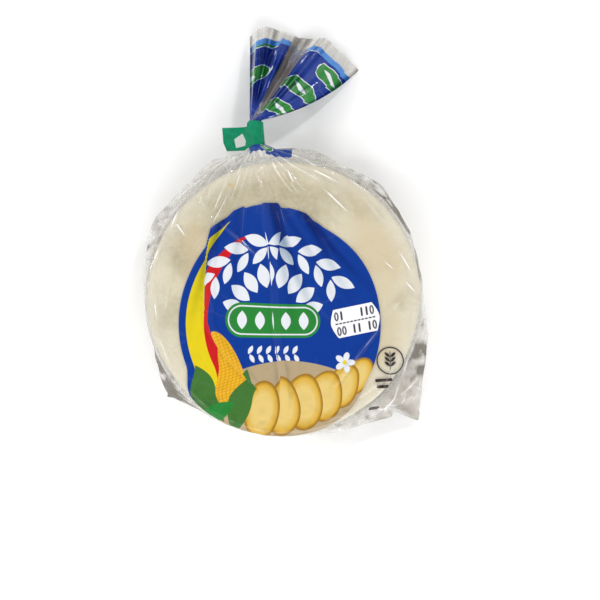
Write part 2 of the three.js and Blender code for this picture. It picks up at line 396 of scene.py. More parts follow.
def noise(tree, place, scale, detail, seed=None):
    """The same as a number, mostly near 0.5."""
    return number_from(add_noise(tree, place, scale, detail, seed), "Fac")


def object_place(tree):
    """Where a point is in its piece's own axes, in metres."""
    return add_node(tree, "ShaderNodeTexCoord").outputs["Object"]


def flat_place(tree):
    """Where a point is on its flat sheet, in millimetres."""
    flat = add_node(tree, "ShaderNodeUVMap", uv_map=FLAT_MAP).outputs[0]
    return vector_math(tree, "SCALE", flat, 1 / MM)


def mask_kept(tree, name):
    """The number that add_mask keeps for each vertex."""
    return number_from(add_node(tree, "ShaderNodeAttribute", attribute_name=name), "Fac")


# %% Groups, materials and colours
def new_group(name, inputs, outputs, kind="ShaderNodeTree"):
    """An empty node group, and its input and output nodes. inputs and outputs map names to socket kinds."""
    group = bpy.data.node_groups.new(name, kind)
    for label, socket_kind in inputs.items():
        group.interface.new_socket(label, in_out="INPUT", socket_type=f"NodeSocket{socket_kind}")
    for label, socket_kind in outputs.items():
        group.interface.new_socket(label, in_out="OUTPUT", socket_type=f"NodeSocket{socket_kind}")
    return group, group.nodes.new("NodeGroupInput"), group.nodes.new("NodeGroupOutput")


def put_out(outputs, **results):
    """Links what a group has made to its outputs, by their names."""
    for name, result in results.items():
        outputs.id_data.links.new(plain(result), outputs.inputs[name])


def add_group(tree, group, **values):
    return add_node(tree, "ShaderNodeGroup", values, node_tree=group)


def mix_colour(tree, share, below, above, blend="MIX"):
    """above painted over below, where share is 1. Each colour is a socket or three numbers."""
    mixer = add_node(tree, "ShaderNodeMix", {0: share}, data_type="RGBA", blend_type=blend)
    for slot, colour in ((mixer.inputs[6], below), (mixer.inputs[7], above)):
        if isinstance(colour, bpy.types.NodeSocket):
            tree.links.new(colour, slot)
        else:
            slot.default_value = (*colour, 1.0)
    return mixer.outputs[2]


def ink(red, green, blue):
    """A colour as a picture program gives it, 0 to 255, as the light that it sends back."""
    levels = (c / 255 for c in (red, green, blue))
    return tuple(((c + 0.055) / 1.055) ** 2.4 if c > 0.04 else c / 12.92 for c in levels)


def new_material(name):
    """A material that has only its output node, and its tree."""
    material = bpy.data.materials.new(name)
    material.use_nodes = True
    tree = material.node_tree
    tree.nodes.clear()
    tree.nodes.new("ShaderNodeOutputMaterial")
    return material, tree


def show_surface(tree, kind, values):
    """Adds the shader that the material shows."""
    surface = add_node(tree, kind, values)
    tree.links.new(surface.outputs[0], tree.nodes["Material Output"].inputs["Surface"])


# %% Shape groups
SHAPE_INPUTS = {"Place": "Vector", "Centre": "Vector", "Turn": "Float", "Length": "Float", "Width": "Float"}
PRINT_EDGE = 0.25  # how soft the edge of a printed shape is, in millimetres


def start_shape(name, *more_outputs):
    """A shape group's tree, with the place seen from the shape's own centre and direction."""
    group, inputs, outputs = new_group(name, SHAPE_INPUTS, dict.fromkeys(("Mask", *more_outputs), "Float"))
    away = vector_math(group, "SUBTRACT", inputs.outputs["Place"], inputs.outputs["Centre"])
    values = {"Vector": away, "Angle": inputs.outputs["Turn"]}
    turned = add_node(group, "ShaderNodeVectorRotate", values, rotation_type="Z_AXIS", invert=True)
    along, across = part_along(group, turned.outputs[0], 0), part_along(group, turned.outputs[0], 1)
    return group, outputs, along, across, number_from(inputs, "Length"), number_from(inputs, "Width")


def build_leaf_shape():
    """Pointed at both ends: its half width falls off with the square of the distance along it."""
    group, outputs, along, across, length, width = start_shape("Leaf Shape")
    share = along.math("DIVIDE", length) * 2.0
    half_width = (1.0 - share * share) * width * 0.5
    put_out(outputs, Mask=(half_width - abs(across)).inside(PRINT_EDGE))
    return group


def build_oval_shape():
    """Dome is 1 in the middle, 0 on the rim and less outside. Along and Across are the place on the oval."""
    group, outputs, along, across, length, width = start_shape("Oval Shape", "Dome", "Along", "Across")
    x, y = along.math("DIVIDE", length) * 2.0, across.math("DIVIDE", width) * 2.0
    dome = 1.0 - (x * x + y * y).math("SQRT")
    mask = (dome * width * 0.5).inside(PRINT_EDGE)
    put_out(outputs, Mask=mask, Dome=dome, Along=along, Across=across)
    return group


def build_bar_shape():
    """A bar with round ends."""
    group, outputs, along, across, length, width = start_shape("Bar Shape")
    past_end = (abs(along) - (length - width) * 0.5).most(0.0)
    reach = (past_end * past_end + across * across).math("SQRT")
    put_out(outputs, Mask=(width * 0.5 - reach).inside(PRINT_EDGE))
    return group


LEAF, OVAL, BAR = build_leaf_shape(), build_oval_shape(), build_bar_shape()
print("shape groups:", [group.name for group in (LEAF, OVAL, BAR)])


# %% Places that repeat a shape
def folded_round(tree, place, middle, start, step, first, last):
    """The place turned back round middle by whole steps, so that one shape made there shows at every step
    from first to last. The shape's own middle then lies on the x axis. Angles are in degrees."""
    away = vector_math(tree, "SUBTRACT", place, (*middle, 0.0))
    angle = part_along(tree, away, 1).math("ARCTAN2", part_along(tree, away, 0)) - math.radians(start)
    steps = (angle * (1 / math.radians(step))).math("ROUND").least(last).most(first)
    values = {"Vector": away, "Angle": steps * -math.radians(step) - math.radians(start)}
    return add_node(tree, "ShaderNodeVectorRotate", values, rotation_type="Z_AXIS").outputs[0]


def folded_along(tree, place, step, first, last):
    """The place moved back along x by whole steps, so that one shape made there shows at every step."""
    steps = (part_along(tree, place, 0) * (1 / step)).math("ROUND").least(last).most(first)
    return vector_math(tree, "SUBTRACT", place, join_parts(tree, X=steps * step))


def mirrored(tree, place):
    """The place with x made positive, so that what is on the right shows on the left too."""
    return join_parts(tree, X=abs(part_along(tree, place, 0)), Y=part_along(tree, place, 1))


# %% [markdown]
# ## Fine grain
#
# Every finish on the bag needs small uneven detail: film and tape are crinkled, paper is fibrous and dough
# is grainy. One group gives a height from two noises, a coarse and a fine one. Each material picks its own
# size for it and passes the height to a Bump node.

# %% Grain group
FINE_GRAIN = 4.7  # how many times finer the second noise is


def build_grain():
    sockets = {"Place": "Vector", "Size": "Float", "Fine Share": "Float"}
    group, inputs, outputs = new_group("Grain", sockets, {"Height": "Float"})
    scale = number_from(inputs, "Size").math("POWER", -1.0)
    coarse = noise(group, inputs.outputs["Place"], scale, 1.0)
    fine = noise(group, inputs.outputs["Place"], scale * FINE_GRAIN, 2.0)
    share = number_from(inputs, "Fine Share")
    put_out(outputs, Height=coarse * (1.0 - share) + fine * share)
    return group


GRAIN = build_grain()


def grain_bump(tree, place, size, fine_share, strength, depth, **normal):
    """A normal bent by the grain. size and depth are in millimetres. Normal is a normal to start from."""
    values = {"Place": place, "Size": size * MM, "Fine Share": fine_share}
    grain = add_group(tree, GRAIN, **values)
    values = {"Strength": strength, "Distance": depth * MM, "Height": grain.outputs["Height"], **normal}
    return add_node(tree, "ShaderNodeBump", values).outputs[0]


print(f"grain group: {len(GRAIN.nodes)} nodes")

# %% [markdown]
# ## The arepas
#
# An arepa is a flat disc of white corn dough, pressed by hand or in a ring and griddled, so its edge is
# round and wavers, its faces swell a little, and no two are quite alike. A disc could be spun from a
# profile and dented by hand five times over. Its shape follows a rule, so Geometry Nodes make it instead:
# a grid is wrapped into a disc whose rows run from the middle of the underside, over the round edge, to
# the middle of the upper face, and noise then moves the points. Each arepa gets its own height and seed.

# %% Tree for one arepa
AREPA_THICKNESS = 7.42
AREPA_RADIUS = 69.8
AREPA_EDGE = 2.6  # how far in the round edge starts
AREPA_GROUND = 0.35  # the film under the lowest arepa
AREPA_COLUMNS, AREPA_ROWS = 301, 74
FACE_SHARE = 0.41  # of the rows, on each face; the rest make the round edge
WELD = 0.02  # how near two points are that become one
RADIUS_STEP, SEED_STEP = 0.25, 17.0  # from one arepa to the next
# How uneven an arepa is, as [width of a bump, its height, what it adds to the seed]
OUTLINE_BUMPS = [[28, 0.016, 3.0], [7, 0.003, 9.0]]  # heights as a share of the radius
FACE_BUMPS = [[17, 0.55 * MM, 0.0], [3.5, 0.16 * MM, 5.0]]


def point_place(tree):
    """Where the mesh's points are at this step of the tree."""
    return tree.nodes.new("GeometryNodeInputPosition").outputs[0]


def split_place(tree):
    """The same as two numbers, x and y."""
    split = add_node(tree, "ShaderNodeSeparateXYZ", {0: point_place(tree)})
    return number_from(split, "X"), number_from(split, "Y")


def disc_place(tree, sizes):
    """Where the grid's points go: its columns run round the disc, its rows from underside to upper face."""
    across, step = split_place(tree)
    turn = across * (2 * math.pi)
    flat_reach = ((0.5 - abs(step)) * (1 / FACE_SHARE)).least(1.0)
    edge_turn = step.math("DIVIDE", 0.5 - FACE_SHARE).least(1.0).most(-1.0) * (math.pi / 2)
    flat_radius = (sizes["Radius"] - sizes["Edge"]) * flat_reach
    radius = flat_radius + sizes["Edge"] * edge_turn.math("COSINE")
    height = edge_turn.math("SINE") * sizes["Thickness"] * 0.5
    return join_parts(tree, X=turn.math("COSINE") * radius, Y=turn.math("SINE") * radius, Z=height)


def wander(tree, seed, bumps):
    """A coarse and a fine noise around 0, as the two rows of bumps say."""
    coarse, fine = (
        (noise(tree, point_place(tree), 1 / (width * MM), 2.0, seed + more) - 0.5) * (2 * height)
        for width, height, more in bumps
    )
    return coarse + fine


def uneven_move(tree, sizes):
    """How far each point moves: in or out by a share of its place, and up."""
    x, y = split_place(tree)
    stretch = wander(tree, sizes["Seed"], OUTLINE_BUMPS)
    swell = wander(tree, sizes["Seed"], FACE_BUMPS)
    return join_parts(tree, X=x * stretch, Y=y * stretch, Z=swell + sizes["Height"])


def passed_through(geometry, kind, **values):
    """The geometry after one more node."""
    return add_node(geometry.id_data, kind, {"Geometry": geometry, **values}).outputs[0]


def build_arepa_tree():
    numbers = dict.fromkeys(("Radius", "Thickness", "Edge", "Height", "Seed"), "Float")
    sockets = {**numbers, "Finish": "Material"}
    tree, inputs, outputs = new_group("Arepa Disc", sockets, {"Geometry": "Geometry"}, "GeometryNodeTree")
    sizes = {name: number_from(inputs, name) for name in numbers}
    values = {"Vertices X": AREPA_COLUMNS, "Vertices Y": AREPA_ROWS}
    grid = add_node(tree, "GeometryNodeMeshGrid", values).outputs["Mesh"]
    disc = passed_through(grid, "GeometryNodeSetPosition", Position=disc_place(tree, sizes))
    disc = passed_through(disc, "GeometryNodeMergeByDistance", Distance=WELD * MM)
    disc = passed_through(disc, "GeometryNodeSetPosition", Offset=uneven_move(tree, sizes))
    disc = passed_through(disc, "GeometryNodeSetShadeSmooth")
    disc = passed_through(disc, "GeometryNodeRealizeInstances")
    disc = passed_through(disc, "GeometryNodeSetMaterial", Material=inputs.outputs["Finish"])
    put_out(outputs, Geometry=disc)
    return tree


arepa_tree = build_arepa_tree()
print(f"arepa tree: {len(arepa_tree.nodes)} nodes")

# %% [markdown]
# ## The arepas' finish
#
# White corn dough is cream, not white: pale yellow where it is moist and greyer where it dried on the
# griddle, in soft patches a few centimetres wide with a fine grain of ground corn on top. Here and there
# a spot caught the griddle and turned golden. Three noises give the dry patches, the flecks and a warm
# tint. The dough is also painted darker towards the neck, as painted shade, and paler towards its edge,
# as painted light. The largest toasted spot has a named place.

# %% Arepa material
CREAM = ink(216, 208, 184)
# also the colour of the painted shade towards the neck
DRY_AND_SHADED_CREAM = ink(180, 170, 142)
WARM_CREAM = ink(210, 192, 157)
# the rim's paler colour is painted light
LIT_EDGE_CREAM = ink(227, 221, 204)
TOAST = ink(208, 164, 62)
PATCHES_IN_METRE = 48.0
FLECKS_IN_METRE = 420.0
WARM_IN_METRE = 30.0
PAINTED_SHADE_GRADIENT = 2.8  # how much darker the dough is painted towards the neck, for each metre, as painted shade
DRY_AND_SHADE_LEVEL, DRY_AND_SHADE_SOFTNESS = 0.806, 0.24
WARM_LEVEL, WARM_SOFTNESS = 0.54, 0.16
LIT_EDGE_RADIUS, LIT_EDGE_WIDTH = 63.5, 10.0
TOAST_SPOT = (-26.5, 57.0)  # on the uppermost arepa
TOAST_RADIUS = 2.9


def toast_share(tree, place, fleck):
    """The toasted spot, with a ragged outline."""
    spot_centre = [v * MM for v in (*TOAST_SPOT, PACK_HEIGHT)]
    ragged = vector_math(tree, "DISTANCE", place, spot_centre) + fleck * (5 * MM)
    return (1.15 - ragged * (1 / (TOAST_RADIUS * MM))).inside(0.9) * 0.85


def dough_colour(tree, place):
    patches = noise(tree, place, PATCHES_IN_METRE, 4.0)
    fleck = noise(tree, place, FLECKS_IN_METRE, 5.0)
    warm = noise(tree, place, WARM_IN_METRE, 2.0, seed=2.0)
    flat_mm = vector_math(tree, "MULTIPLY", place, (1 / MM, 1 / MM, 0))
    # Painted light: the dough is painted paler towards its rim
    lit_edge_share = (vector_math(tree, "LENGTH", flat_mm) - LIT_EDGE_RADIUS).inside(LIT_EDGE_WIDTH) * 0.8
    towards_neck = part_along(tree, place, 1) - part_along(tree, place, 0) * 0.3
    # Painted shade: darker towards the neck and a little towards the left, on top of the dry patches
    dryness_and_shade = patches * 1.2 + fleck * 0.35 + towards_neck * PAINTED_SHADE_GRADIENT
    dry_and_shade_share = (dryness_and_shade - DRY_AND_SHADE_LEVEL).inside(DRY_AND_SHADE_SOFTNESS)
    fleck_share = (fleck - 0.5).inside(0.3) * 0.4
    warm_share = (warm - WARM_LEVEL).inside(WARM_SOFTNESS) * 0.6
    colour = mix_colour(tree, dry_and_shade_share, CREAM, DRY_AND_SHADED_CREAM)
    colour = mix_colour(tree, fleck_share, colour, CREAM)
    colour = mix_colour(tree, warm_share, colour, WARM_CREAM)
    colour = mix_colour(tree, lit_edge_share, colour, LIT_EDGE_CREAM)
    return mix_colour(tree, toast_share(tree, place, fleck), colour, TOAST)


def build_arepa_finish():
    material, tree = new_material("corn_dough")
    place = object_place(tree)
    values = {
        "Base Color": dough_colour(tree, place),
        "Roughness": 0.62,
        "Specular IOR Level": 0.3,
        "Subsurface Weight": 0.12,
        "Subsurface Radius": (1.0, 0.8, 0.5),
        "Subsurface Scale": 2 * MM,
        "Normal": grain_bump(tree, place, size=1.6, fine_share=0.5, strength=0.7, depth=0.35),
    }
    show_surface(tree, "ShaderNodeBsdfPrincipled", values)
    return material


corn_dough = build_arepa_finish()


# %% Make the five arepas
def make_arepa(number):
    name = f"arepa_{number}"
    piece = bpy.data.objects.new(name, bpy.data.meshes.new(name))
    bpy.context.scene.collection.objects.link(piece)
    modifier = piece.modifiers.new("disc", "NODES")
    modifier.node_group = arepa_tree
    values = {
        "Radius": (AREPA_RADIUS - RADIUS_STEP * (number % 3)) * MM,
        "Thickness": AREPA_THICKNESS * MM,
        "Edge": AREPA_EDGE * MM,
        "Height": (AREPA_GROUND + AREPA_THICKNESS * (number - 0.5)) * MM,
        "Seed": SEED_STEP * number,
        "Finish": corn_dough,
    }
    for socket in arepa_tree.interface.items_tree:
        if socket.name in values:
            modifier[socket.identifier] = values[socket.name]
    settle_modifiers(piece)
    return piece


arepas = [make_arepa(number) for number in range(1, AREPA_COUNT + 1)]

# %% [markdown]
# ## Where the film runs
#
# The bag is a flat tube of film pulled round a stack of discs. Seen from above its outline is a polygon
# of taut stretches, and its folded edge dips or rises where something pulls it: up to the neck, and down
# at the free corner. A cloth simulation would find folds of its own, but not these, and it would stretch
# the print. So the film is a surface of rules: a section for each direction round the stack, running from
# the middle of the upper face over the rim, down the wall to the folded edge, and back under the stack.

# %% The taut outline
# Each stretch as [the direction it faces, its distance from the stack's middle]
TAUT_EDGES = np.array(
    [
        [10, 71.3],
        [31, 74.2],
        [62, 75.9],
        [88, 78.0],
        [100, 77.0],
        [134, 77.7],
        [158, 78.8],
        [173, 74.8],
        [190, 71.9],
        [208, 79.2],
        [225, 79.9],
        [246, 72.7],
        [262, 71.3],
        [272, 71.5],
        [282, 75.2],
        [356, 77.0],
    ]
)
EDGE_SHARPNESS = 110
FREE_CORNER = 317.3
CORNER_REACH = 6.5  # how far the free corner stands out of the taut outline
CORNER_FALLS = (2.4, 3.0)  # degrees in which it falls back, below it and above it
CORNER_DENT = (3.4, 1.3, 3.2)  # below it, as (degrees away, half width, depth)
LEFT_CORNER = (220.5, 0.9, 1.8)  # a small point, as (direction, half width, how far it stands out)
NECK_DIRECTION = 99.9
SPOUT_RADIUS = 80.2  # where the film enters the tape
SPOUT_HALF_WIDTH = 2.3  # degrees from the neck at which the spout starts to fall back
LEAST_GAP = 0.4  # from the stack to the folded edge
EDGE_WAVER = (1.6, 19)  # how much the folded edge rises and dips, and in how many degrees
# Where the folded edge is pulled, as [direction, half width, height]
EDGE_PULLS = [[99, 26, 24], [FREE_CORNER, 20, 5], [218, 14, 15]]
# Where columns of the mesh stand closer, as [direction, half width, how much closer]
CROWDED_COLUMNS = [[NECK_DIRECTION, 34, 2.4], [FREE_CORNER, 12, 1.2]]
# Where the film's wall is in its own shade, as [direction, half width, depth, how streaked it is]
SHADED_WALLS = [
    [18, 11, 0.7, 0.3],
    [41, 15, 1.1, 0.9],
    [74, 3, 0.3, 0],
    [217, 13, 1.3, 0.25],
    [336, 5, 0.6, 0],
]


def turn_between(directions, middle):
    """The shortest way round from middle to each direction, in degrees."""
    return (directions - middle + 180) % 360 - 180


def bell(away, half_width):
    return np.exp(-((away / half_width) ** 2))


def outline_radius(directions):
    facing, distance = TAUT_EDGES.T
    across = np.cos(np.radians(directions[:, None] - facing))
    pull = np.where(across > 0, across / distance, 0) ** EDGE_SHARPNESS
    polygon = pull.sum(1) ** (-1 / EDGE_SHARPNESS)
    past_corner = turn_between(directions, FREE_CORNER)
    below, above = CORNER_FALLS
    corner = np.clip(np.minimum(1 + past_corner / below, 1 - past_corner / above), 0, 1)
    dent_away, dent_width, dent_depth = CORNER_DENT
    left_corner, left_width, left_reach = LEFT_CORNER
    polygon = polygon + CORNER_REACH * corner
    polygon = polygon - dent_depth * bell(past_corner + dent_away, dent_width)
    polygon = polygon + left_reach * bell(turn_between(directions, left_corner), left_width)
    beside_spout = np.maximum(0, np.abs(turn_between(directions, NECK_DIRECTION)) - SPOUT_HALF_WIDTH)
    spout = SPOUT_RADIUS - 0.35 * beside_spout**1.5
    return np.maximum(STACK_RADIUS + LEAST_GAP, np.maximum(polygon, spout))


def edge_height(directions):
    amount, period = EDGE_WAVER
    height = SEAM_HEIGHT + amount * lattice_noise(directions / period, 0 * directions, seed=5)
    for middle, half_width, pulled_to in EDGE_PULLS:
        share = bell(turn_between(directions, middle), half_width)
        height = height * (1 - share) + pulled_to * share
    return height


def spread_columns(count):
    """Directions of the film's columns."""
    fine = np.linspace(0, 360, 20 * 360 + 1)
    density = np.ones_like(fine)
    for middle, half_width, closer in CROWDED_COLUMNS:
        density += closer * bell(turn_between(fine, middle), half_width)
    total = np.concatenate([[0], np.cumsum((density[1:] + density[:-1]) / 2)])
    return np.interp(np.arange(count) / count * total[-1], total, fine)


# %% [markdown]
# ## Folds
#
# Folds fan out from the neck, because that is where the film is gathered: each one lifts a sharp ridge,
# and takes a strip of film with it that no longer shows. The print therefore jumps sideways at a fold.
# Two deep pleats run the whole length of the face, one near the middle and one on the left. Short creases
# lie where the film was touched. Each rule below gives a height above the smooth film, and for folds also
# how far the print moves.

# %% Folds and creases
FAN_START = np.array([-13.8, 78.8])  # where the film leaves the tape
# Folds from the neck, as [direction, length, height, half width, strip hidden, slide along the fold]
FAN_FOLDS = [
    [196, 42, 0.9, 2.6, 0.0, 0.0],
    [207, 55, 0.8, 2.2, 0.0, 0.0],
    [219, 50, 0.8, 2.2, 0.4, 0.0],
    [231, 60, 0.6, 2.2, 0.6, 1.0],
    [240, 80, 0.8, 2.0, 1.0, -2.2],
    [251, 62, 0.5, 2.0, 0.8, 1.6],
    [262, 66, 0.4, 2.0, 0.8, -1.6],
    [284, 72, 0.4, 2.0, 0.8, 0.3],
    [290, 68, 0.5, 1.8, 1.2, -1.8],
    [297, 76, 0.4, 2.0, 1.3, 1.6],
    [303.5, 84, 0.5, 2.0, 1.5, -2.2],
    [309, 90, 0.5, 2.2, 1.4, 1.2],
    [317, 74, 0.5, 2.2, 0.5, -1.2],
    [326, 66, 0.6, 2.2, 0.3, 0.0],
    [337, 55, 0.8, 2.2, 0.0, 0.0],
    [348, 42, 0.9, 2.4, 0.0, 0.0],
]
# Short creases on the face, as [start x, y, end x, y, height, half width]
CREASES = [
    [-25, 68, -36, 42, 0.9, 1.5],
    [-31, 66, -44, 50, 0.6, 1.3],
    [-37.7, 62, -43.5, 52.7, 0.7, 1.3],
    [-43.5, 52.7, -39.7, 45.2, 0.6, 1.3],
    [-35.5, 58, -39.7, 47, 0.6, 1.2],
    [-21, 65, -27, 48, 0.5, 1.2],
    [-9.2, 66.7, -13.9, 62.6, 0.8, 1.2],
    [-13.9, 62.6, -10.1, 55.3, 0.8, 1.2],
    [-6, 68, -1, 60, 0.5, 1.2],
    [1.5, 65.5, 5.3, 57.4, 0.7, 1.3],
    [16.6, 58.5, 35.7, 40, 0.6, 1.6],
    [12, 66, 30, 57, 0.6, 1.3],
    [30, 62, 46, 50, 0.7, 1.4],
    [40, 51, 52, 36, 0.6, 1.4],
    [-33, 38, -11, 19, 0.5, 1.4],
    [-52, 46, -58, 33, 0.6, 1.3],
    [-60, 33, -66, 16, 0.6, 1.4],
    [-56, 40, -49, 30, 0.4, 1.2],
    [-66, 6, -64, -12, 0.5, 1.3],
    [-60, -8, -58, 12, 0.4, 1.3],
    [-63, -20, -56, -38, 0.6, 1.4],
    [-51, -44, -38, -56, 0.5, 1.3],
    [49.8, -13.9, 26, -44.2, 0.7, 1.4],
    [52, -9, 60, -1, 0.5, 1.2],
    [49, 20, 57, 13, 0.6, 1.2],
    [58, 24, 65, 12, 0.6, 1.2],
    [61, 9, 67, 2, 0.5, 1.2],
    [66, -8, 64, -26, 0.6, 1.3],
    [58, -27, 49, -50, 0.6, 1.4],
    [64, -24, 60, -40, 0.6, 1.3],
    [38, -50, 56, -38, 0.6, 1.3],
    [20, -62, 36, -58, 0.4, 1.3],
    [-31, 67.5, -57, 47, 0.5, 1.3],
    [-24, 71, -44, 60.5, 0.4, 1.2],
    [60, -50, 74, -40, 0.6, 1.4],
]
FOLD_SWAY = (1.6, 17)  # how far a fold sways sideways, and in what length
GATHER_DEGREES = 3.6  # from one fine pleat by the neck to the next
GATHER_LENGTH = 14  # in which they fade
PLEAT_HEIGHT = 0.6
MIDDLE_PLEAT_HIDES, MIDDLE_PLEAT_WIDTH = 5.0, 2.6
LEFT_PLEAT_HIDES, LEFT_PLEAT_WIDTH = 7.0, 3.2
MIDDLE_PLEAT_X, LEFT_PLEAT_X = -6.8, -39.5
LEFT_PLEAT_LOW, LEFT_PLEAT_HIGH = -10, 5  # between these heights on the face the left pleat runs straight


def ridge(away, half_width):
    """A tent with a sharp crest."""
    return np.clip(1 - np.abs(away) / half_width, 0, 1)


def from_tape(x, y):
    """x and y from where the film leaves the tape."""
    return x - FAN_START[0], y - FAN_START[1]


def fold_tracks(x, y):
    """For each fold from the neck: the fold, the way along and across it, how far along and across it each
    point is, and how it fades."""
    sway, sway_length = FOLD_SWAY
    right, up = from_tape(x, y)
    for number, fold in enumerate(FAN_FOLDS):
        direction, length = math.radians(fold[0]), fold[1]
        ahead = np.array([math.cos(direction), math.sin(direction)])
        side = np.array([-ahead[1], ahead[0]])
        along = right * ahead[0] + up * ahead[1]
        away = right * side[0] + up * side[1]
        away = away + sway * np.sin(along / sway_length + 2.1 * number) * smooth_step(8, 40, along)
        fade = smooth_step(-2, 9, along) * (1 - smooth_step(0.45 * length, length, along))
        yield fold, ahead, side, along, away, fade


def fan_folds(x, y):
    """The height of the folds from the neck, and the print's shift across them."""
    height, shift = np.zeros_like(x), np.zeros((*x.shape, 2))
    for fold, ahead, side, along, away, fade in fold_tracks(x, y):
        _, _, rise, half_width, hidden, slide = fold
        width = half_width * (0.35 + 0.65 * smooth_step(0, 45, along))
        height += rise * fade * ridge(away, width)
        step = (fade * (smooth_step(-width / 3, width / 3, away) - 0.5))[..., None]
        shift += step * (hidden * side + slide * ahead)
    return height, shift


def fan_gathers(x, y):
    """Fine pleats close to the neck, between the folds."""
    right, up = from_tape(x, y)
    along = np.hypot(right, up)
    direction = np.degrees(np.arctan2(up, right)) + 4 * lattice_noise(x / 13, y / 13, seed=21)
    crest = 1 - np.abs(lattice_noise(direction / GATHER_DEGREES, 0 * direction, seed=22))
    return np.minimum(0.6, 0.25 + 0.03 * along) * np.exp(-along / GATHER_LENGTH) * crest


def left_pleat_line(y):
    """The left pleat's x. It bends right below the middle, towards the bag's bottom corner."""
    upper = LEFT_PLEAT_X + 0.0023 * (y - LEFT_PLEAT_HIGH) ** 2
    lower = 0.085 * np.maximum(0, LEFT_PLEAT_LOW - y) ** 1.6
    return np.where(y > LEFT_PLEAT_HIGH, upper, LEFT_PLEAT_X) + lower


def pleats(x, y):
    """The two long pleats: their height, and the print's shift."""
    middle_line = MIDDLE_PLEAT_X - 0.09 * (y - 10) + 0.5 * np.sin(y / 9)
    middle_fade = smooth_step(-66, -40, y)
    left_fade = smooth_step(-52, -34, y) * (1 - smooth_step(44, 66, y))
    middle_away, left_away = x - middle_line, x - left_pleat_line(y)
    height = PLEAT_HEIGHT * middle_fade * ridge(middle_away - 1.2, MIDDLE_PLEAT_WIDTH)
    height += PLEAT_HEIGHT * left_fade * ridge(left_away - 1.5, LEFT_PLEAT_WIDTH)
    shift = np.zeros((*x.shape, 2))
    shift[..., 0] += MIDDLE_PLEAT_HIDES * middle_fade * smooth_step(-0.5, 0.5, middle_away)
    shift[..., 0] -= LEFT_PLEAT_HIDES * left_fade * (1 - smooth_step(-0.5, 0.5, left_away))
    return height, shift


def crease_tracks(x, y):
    """For each short crease: its height and half width, and for each point the share of the way along it, the
    distance across it and the distance past its end."""
    for x0, y0, x1, y1, rise, half_width in CREASES:
        run = np.array([x1 - x0, y1 - y0])
        length = math.hypot(*run)
        share = ((x - x0) * run[0] + (y - y0) * run[1]) / length**2
        away = ((y - y0) * run[0] - (x - x0) * run[1]) / length
        past_end = length * np.maximum(0, np.abs(share - 0.5) - 0.5)
        yield rise, half_width, share, away, past_end


def short_creases(x, y):
    height = np.zeros_like(x)
    for rise, half_width, share, away, past_end in crease_tracks(x, y):
        taper = np.sin(np.pi * np.clip(share * 0.9 + 0.05, 0, 1)) ** 0.5
        height += rise * taper * ridge(np.hypot(away, past_end), half_width)
    return height


def face_crumple(x, y):
    """The fine unevenness of the whole upper face."""
    return 0.22 * crumple(x, y, size=11, seed=41)


# %% What folds and creases do to the film's look: painted shade on the print, and white lines that are partly painted highlights
LINE_REACH = 2.6  # how far from a crest its white line is still known


def fold_shades(x, y):
    """How much the folds from the neck darken the print on the side that turns from the light."""
    shade = np.zeros_like(x)
    for number, (_, _, _, along, away, _) in enumerate(fold_tracks(x, y)):
        reach = smooth_step(14, 34, along) * (1 - smooth_step(50, 110, along))
        shade += (0.30 + 0.20 * (number % 3)) * reach * bell(away + 2.4, 2.2)
    return shade


def crest_lines(x, y):
    """For each point, the distance across the strongest crest near it, and how strong its white line is. The
    line is partly the whitening of creased film and partly a painted highlight. The material draws the line
    where the distance passes 0, which stays sharp however coarse the mesh is."""
    across, strength = np.full(x.shape, LINE_REACH), np.zeros(x.shape)
    breaks = smooth_step(-0.35, 0.5, lattice_noise(x / 7, y / 7, seed=24))
    lines = [
        (0.75 * fade * breaks * smooth_step(6, 16, along) * min(1, fold[2] * 1.3), away)
        for fold, _, _, along, away, fade in fold_tracks(x, y)
    ]
    lines += [
        (np.sin(np.pi * np.clip(share, 0, 1)) ** 0.7 * (0.4 + 0.6 * breaks), away)
        for _, _, share, away, _ in crease_tracks(x, y)
    ]
    for line_strength, away in lines:
        line_strength = line_strength * (1 - smooth_step(0.6, 1, np.abs(away) / LINE_REACH))
        stronger = line_strength > strength
        across, strength = np.where(stronger, away, across), np.where(stronger, line_strength, strength)
    return across, strength


print(f"{len(FAN_FOLDS)} folds from the neck, 2 pleats, {len(CREASES)} short creases")

# %% [markdown]
# ## The bag of film
#
# The rows of each section are set out first on the smooth surface. Then every point moves along its own
# normal by the folds above, by upright wrinkles in the walls, and by sharp crumpling where the film
# stands free: at the shoulders, in the free corner and along the rim. The length along the section
# becomes the flat film's coordinate, so the print wraps over the rim as real print does.

# %% Sections of the smooth bag
COLUMNS = 520
FACE_ROWS, ROUND_ROWS, WALL_ROWS = 92, 6, 30
LOWER_WALL_ROWS, LOWER_ROUND_ROWS, BASE_ROWS = 20, 4, 12
SPOUT_REACH = 20  # degrees from the neck within which the folded edge can open into the spout
LEAST_LIP = 0.25  # half the gap between the two layers at the folded edge, away from the spout

directions = spread_columns(COLUMNS)
fold_radius = outline_radius(directions)
fold_height = edge_height(directions)
from_neck = turn_between(directions, NECK_DIRECTION)
beside_neck = fold_radius * np.sin(np.radians(from_neck))
near_neck = np.abs(from_neck) < SPOUT_REACH
opening = np.sqrt(np.maximum(0, NECK_RADIUS**2 - beside_neck**2)) * near_neck
lip = np.maximum(LEAST_LIP, opening)
ones = np.ones(COLUMNS)


def quarter_turns(steps):
    return np.linspace(0, math.pi / 2, steps + 1)


def wall_rows(start, end, shares):
    """Rows between two rings, each given by its radius and height."""
    (radius, height), (end_radius, end_height) = start, end
    return [(radius + (end_radius - radius) * t, height + (end_height - height) * t) for t in shares]


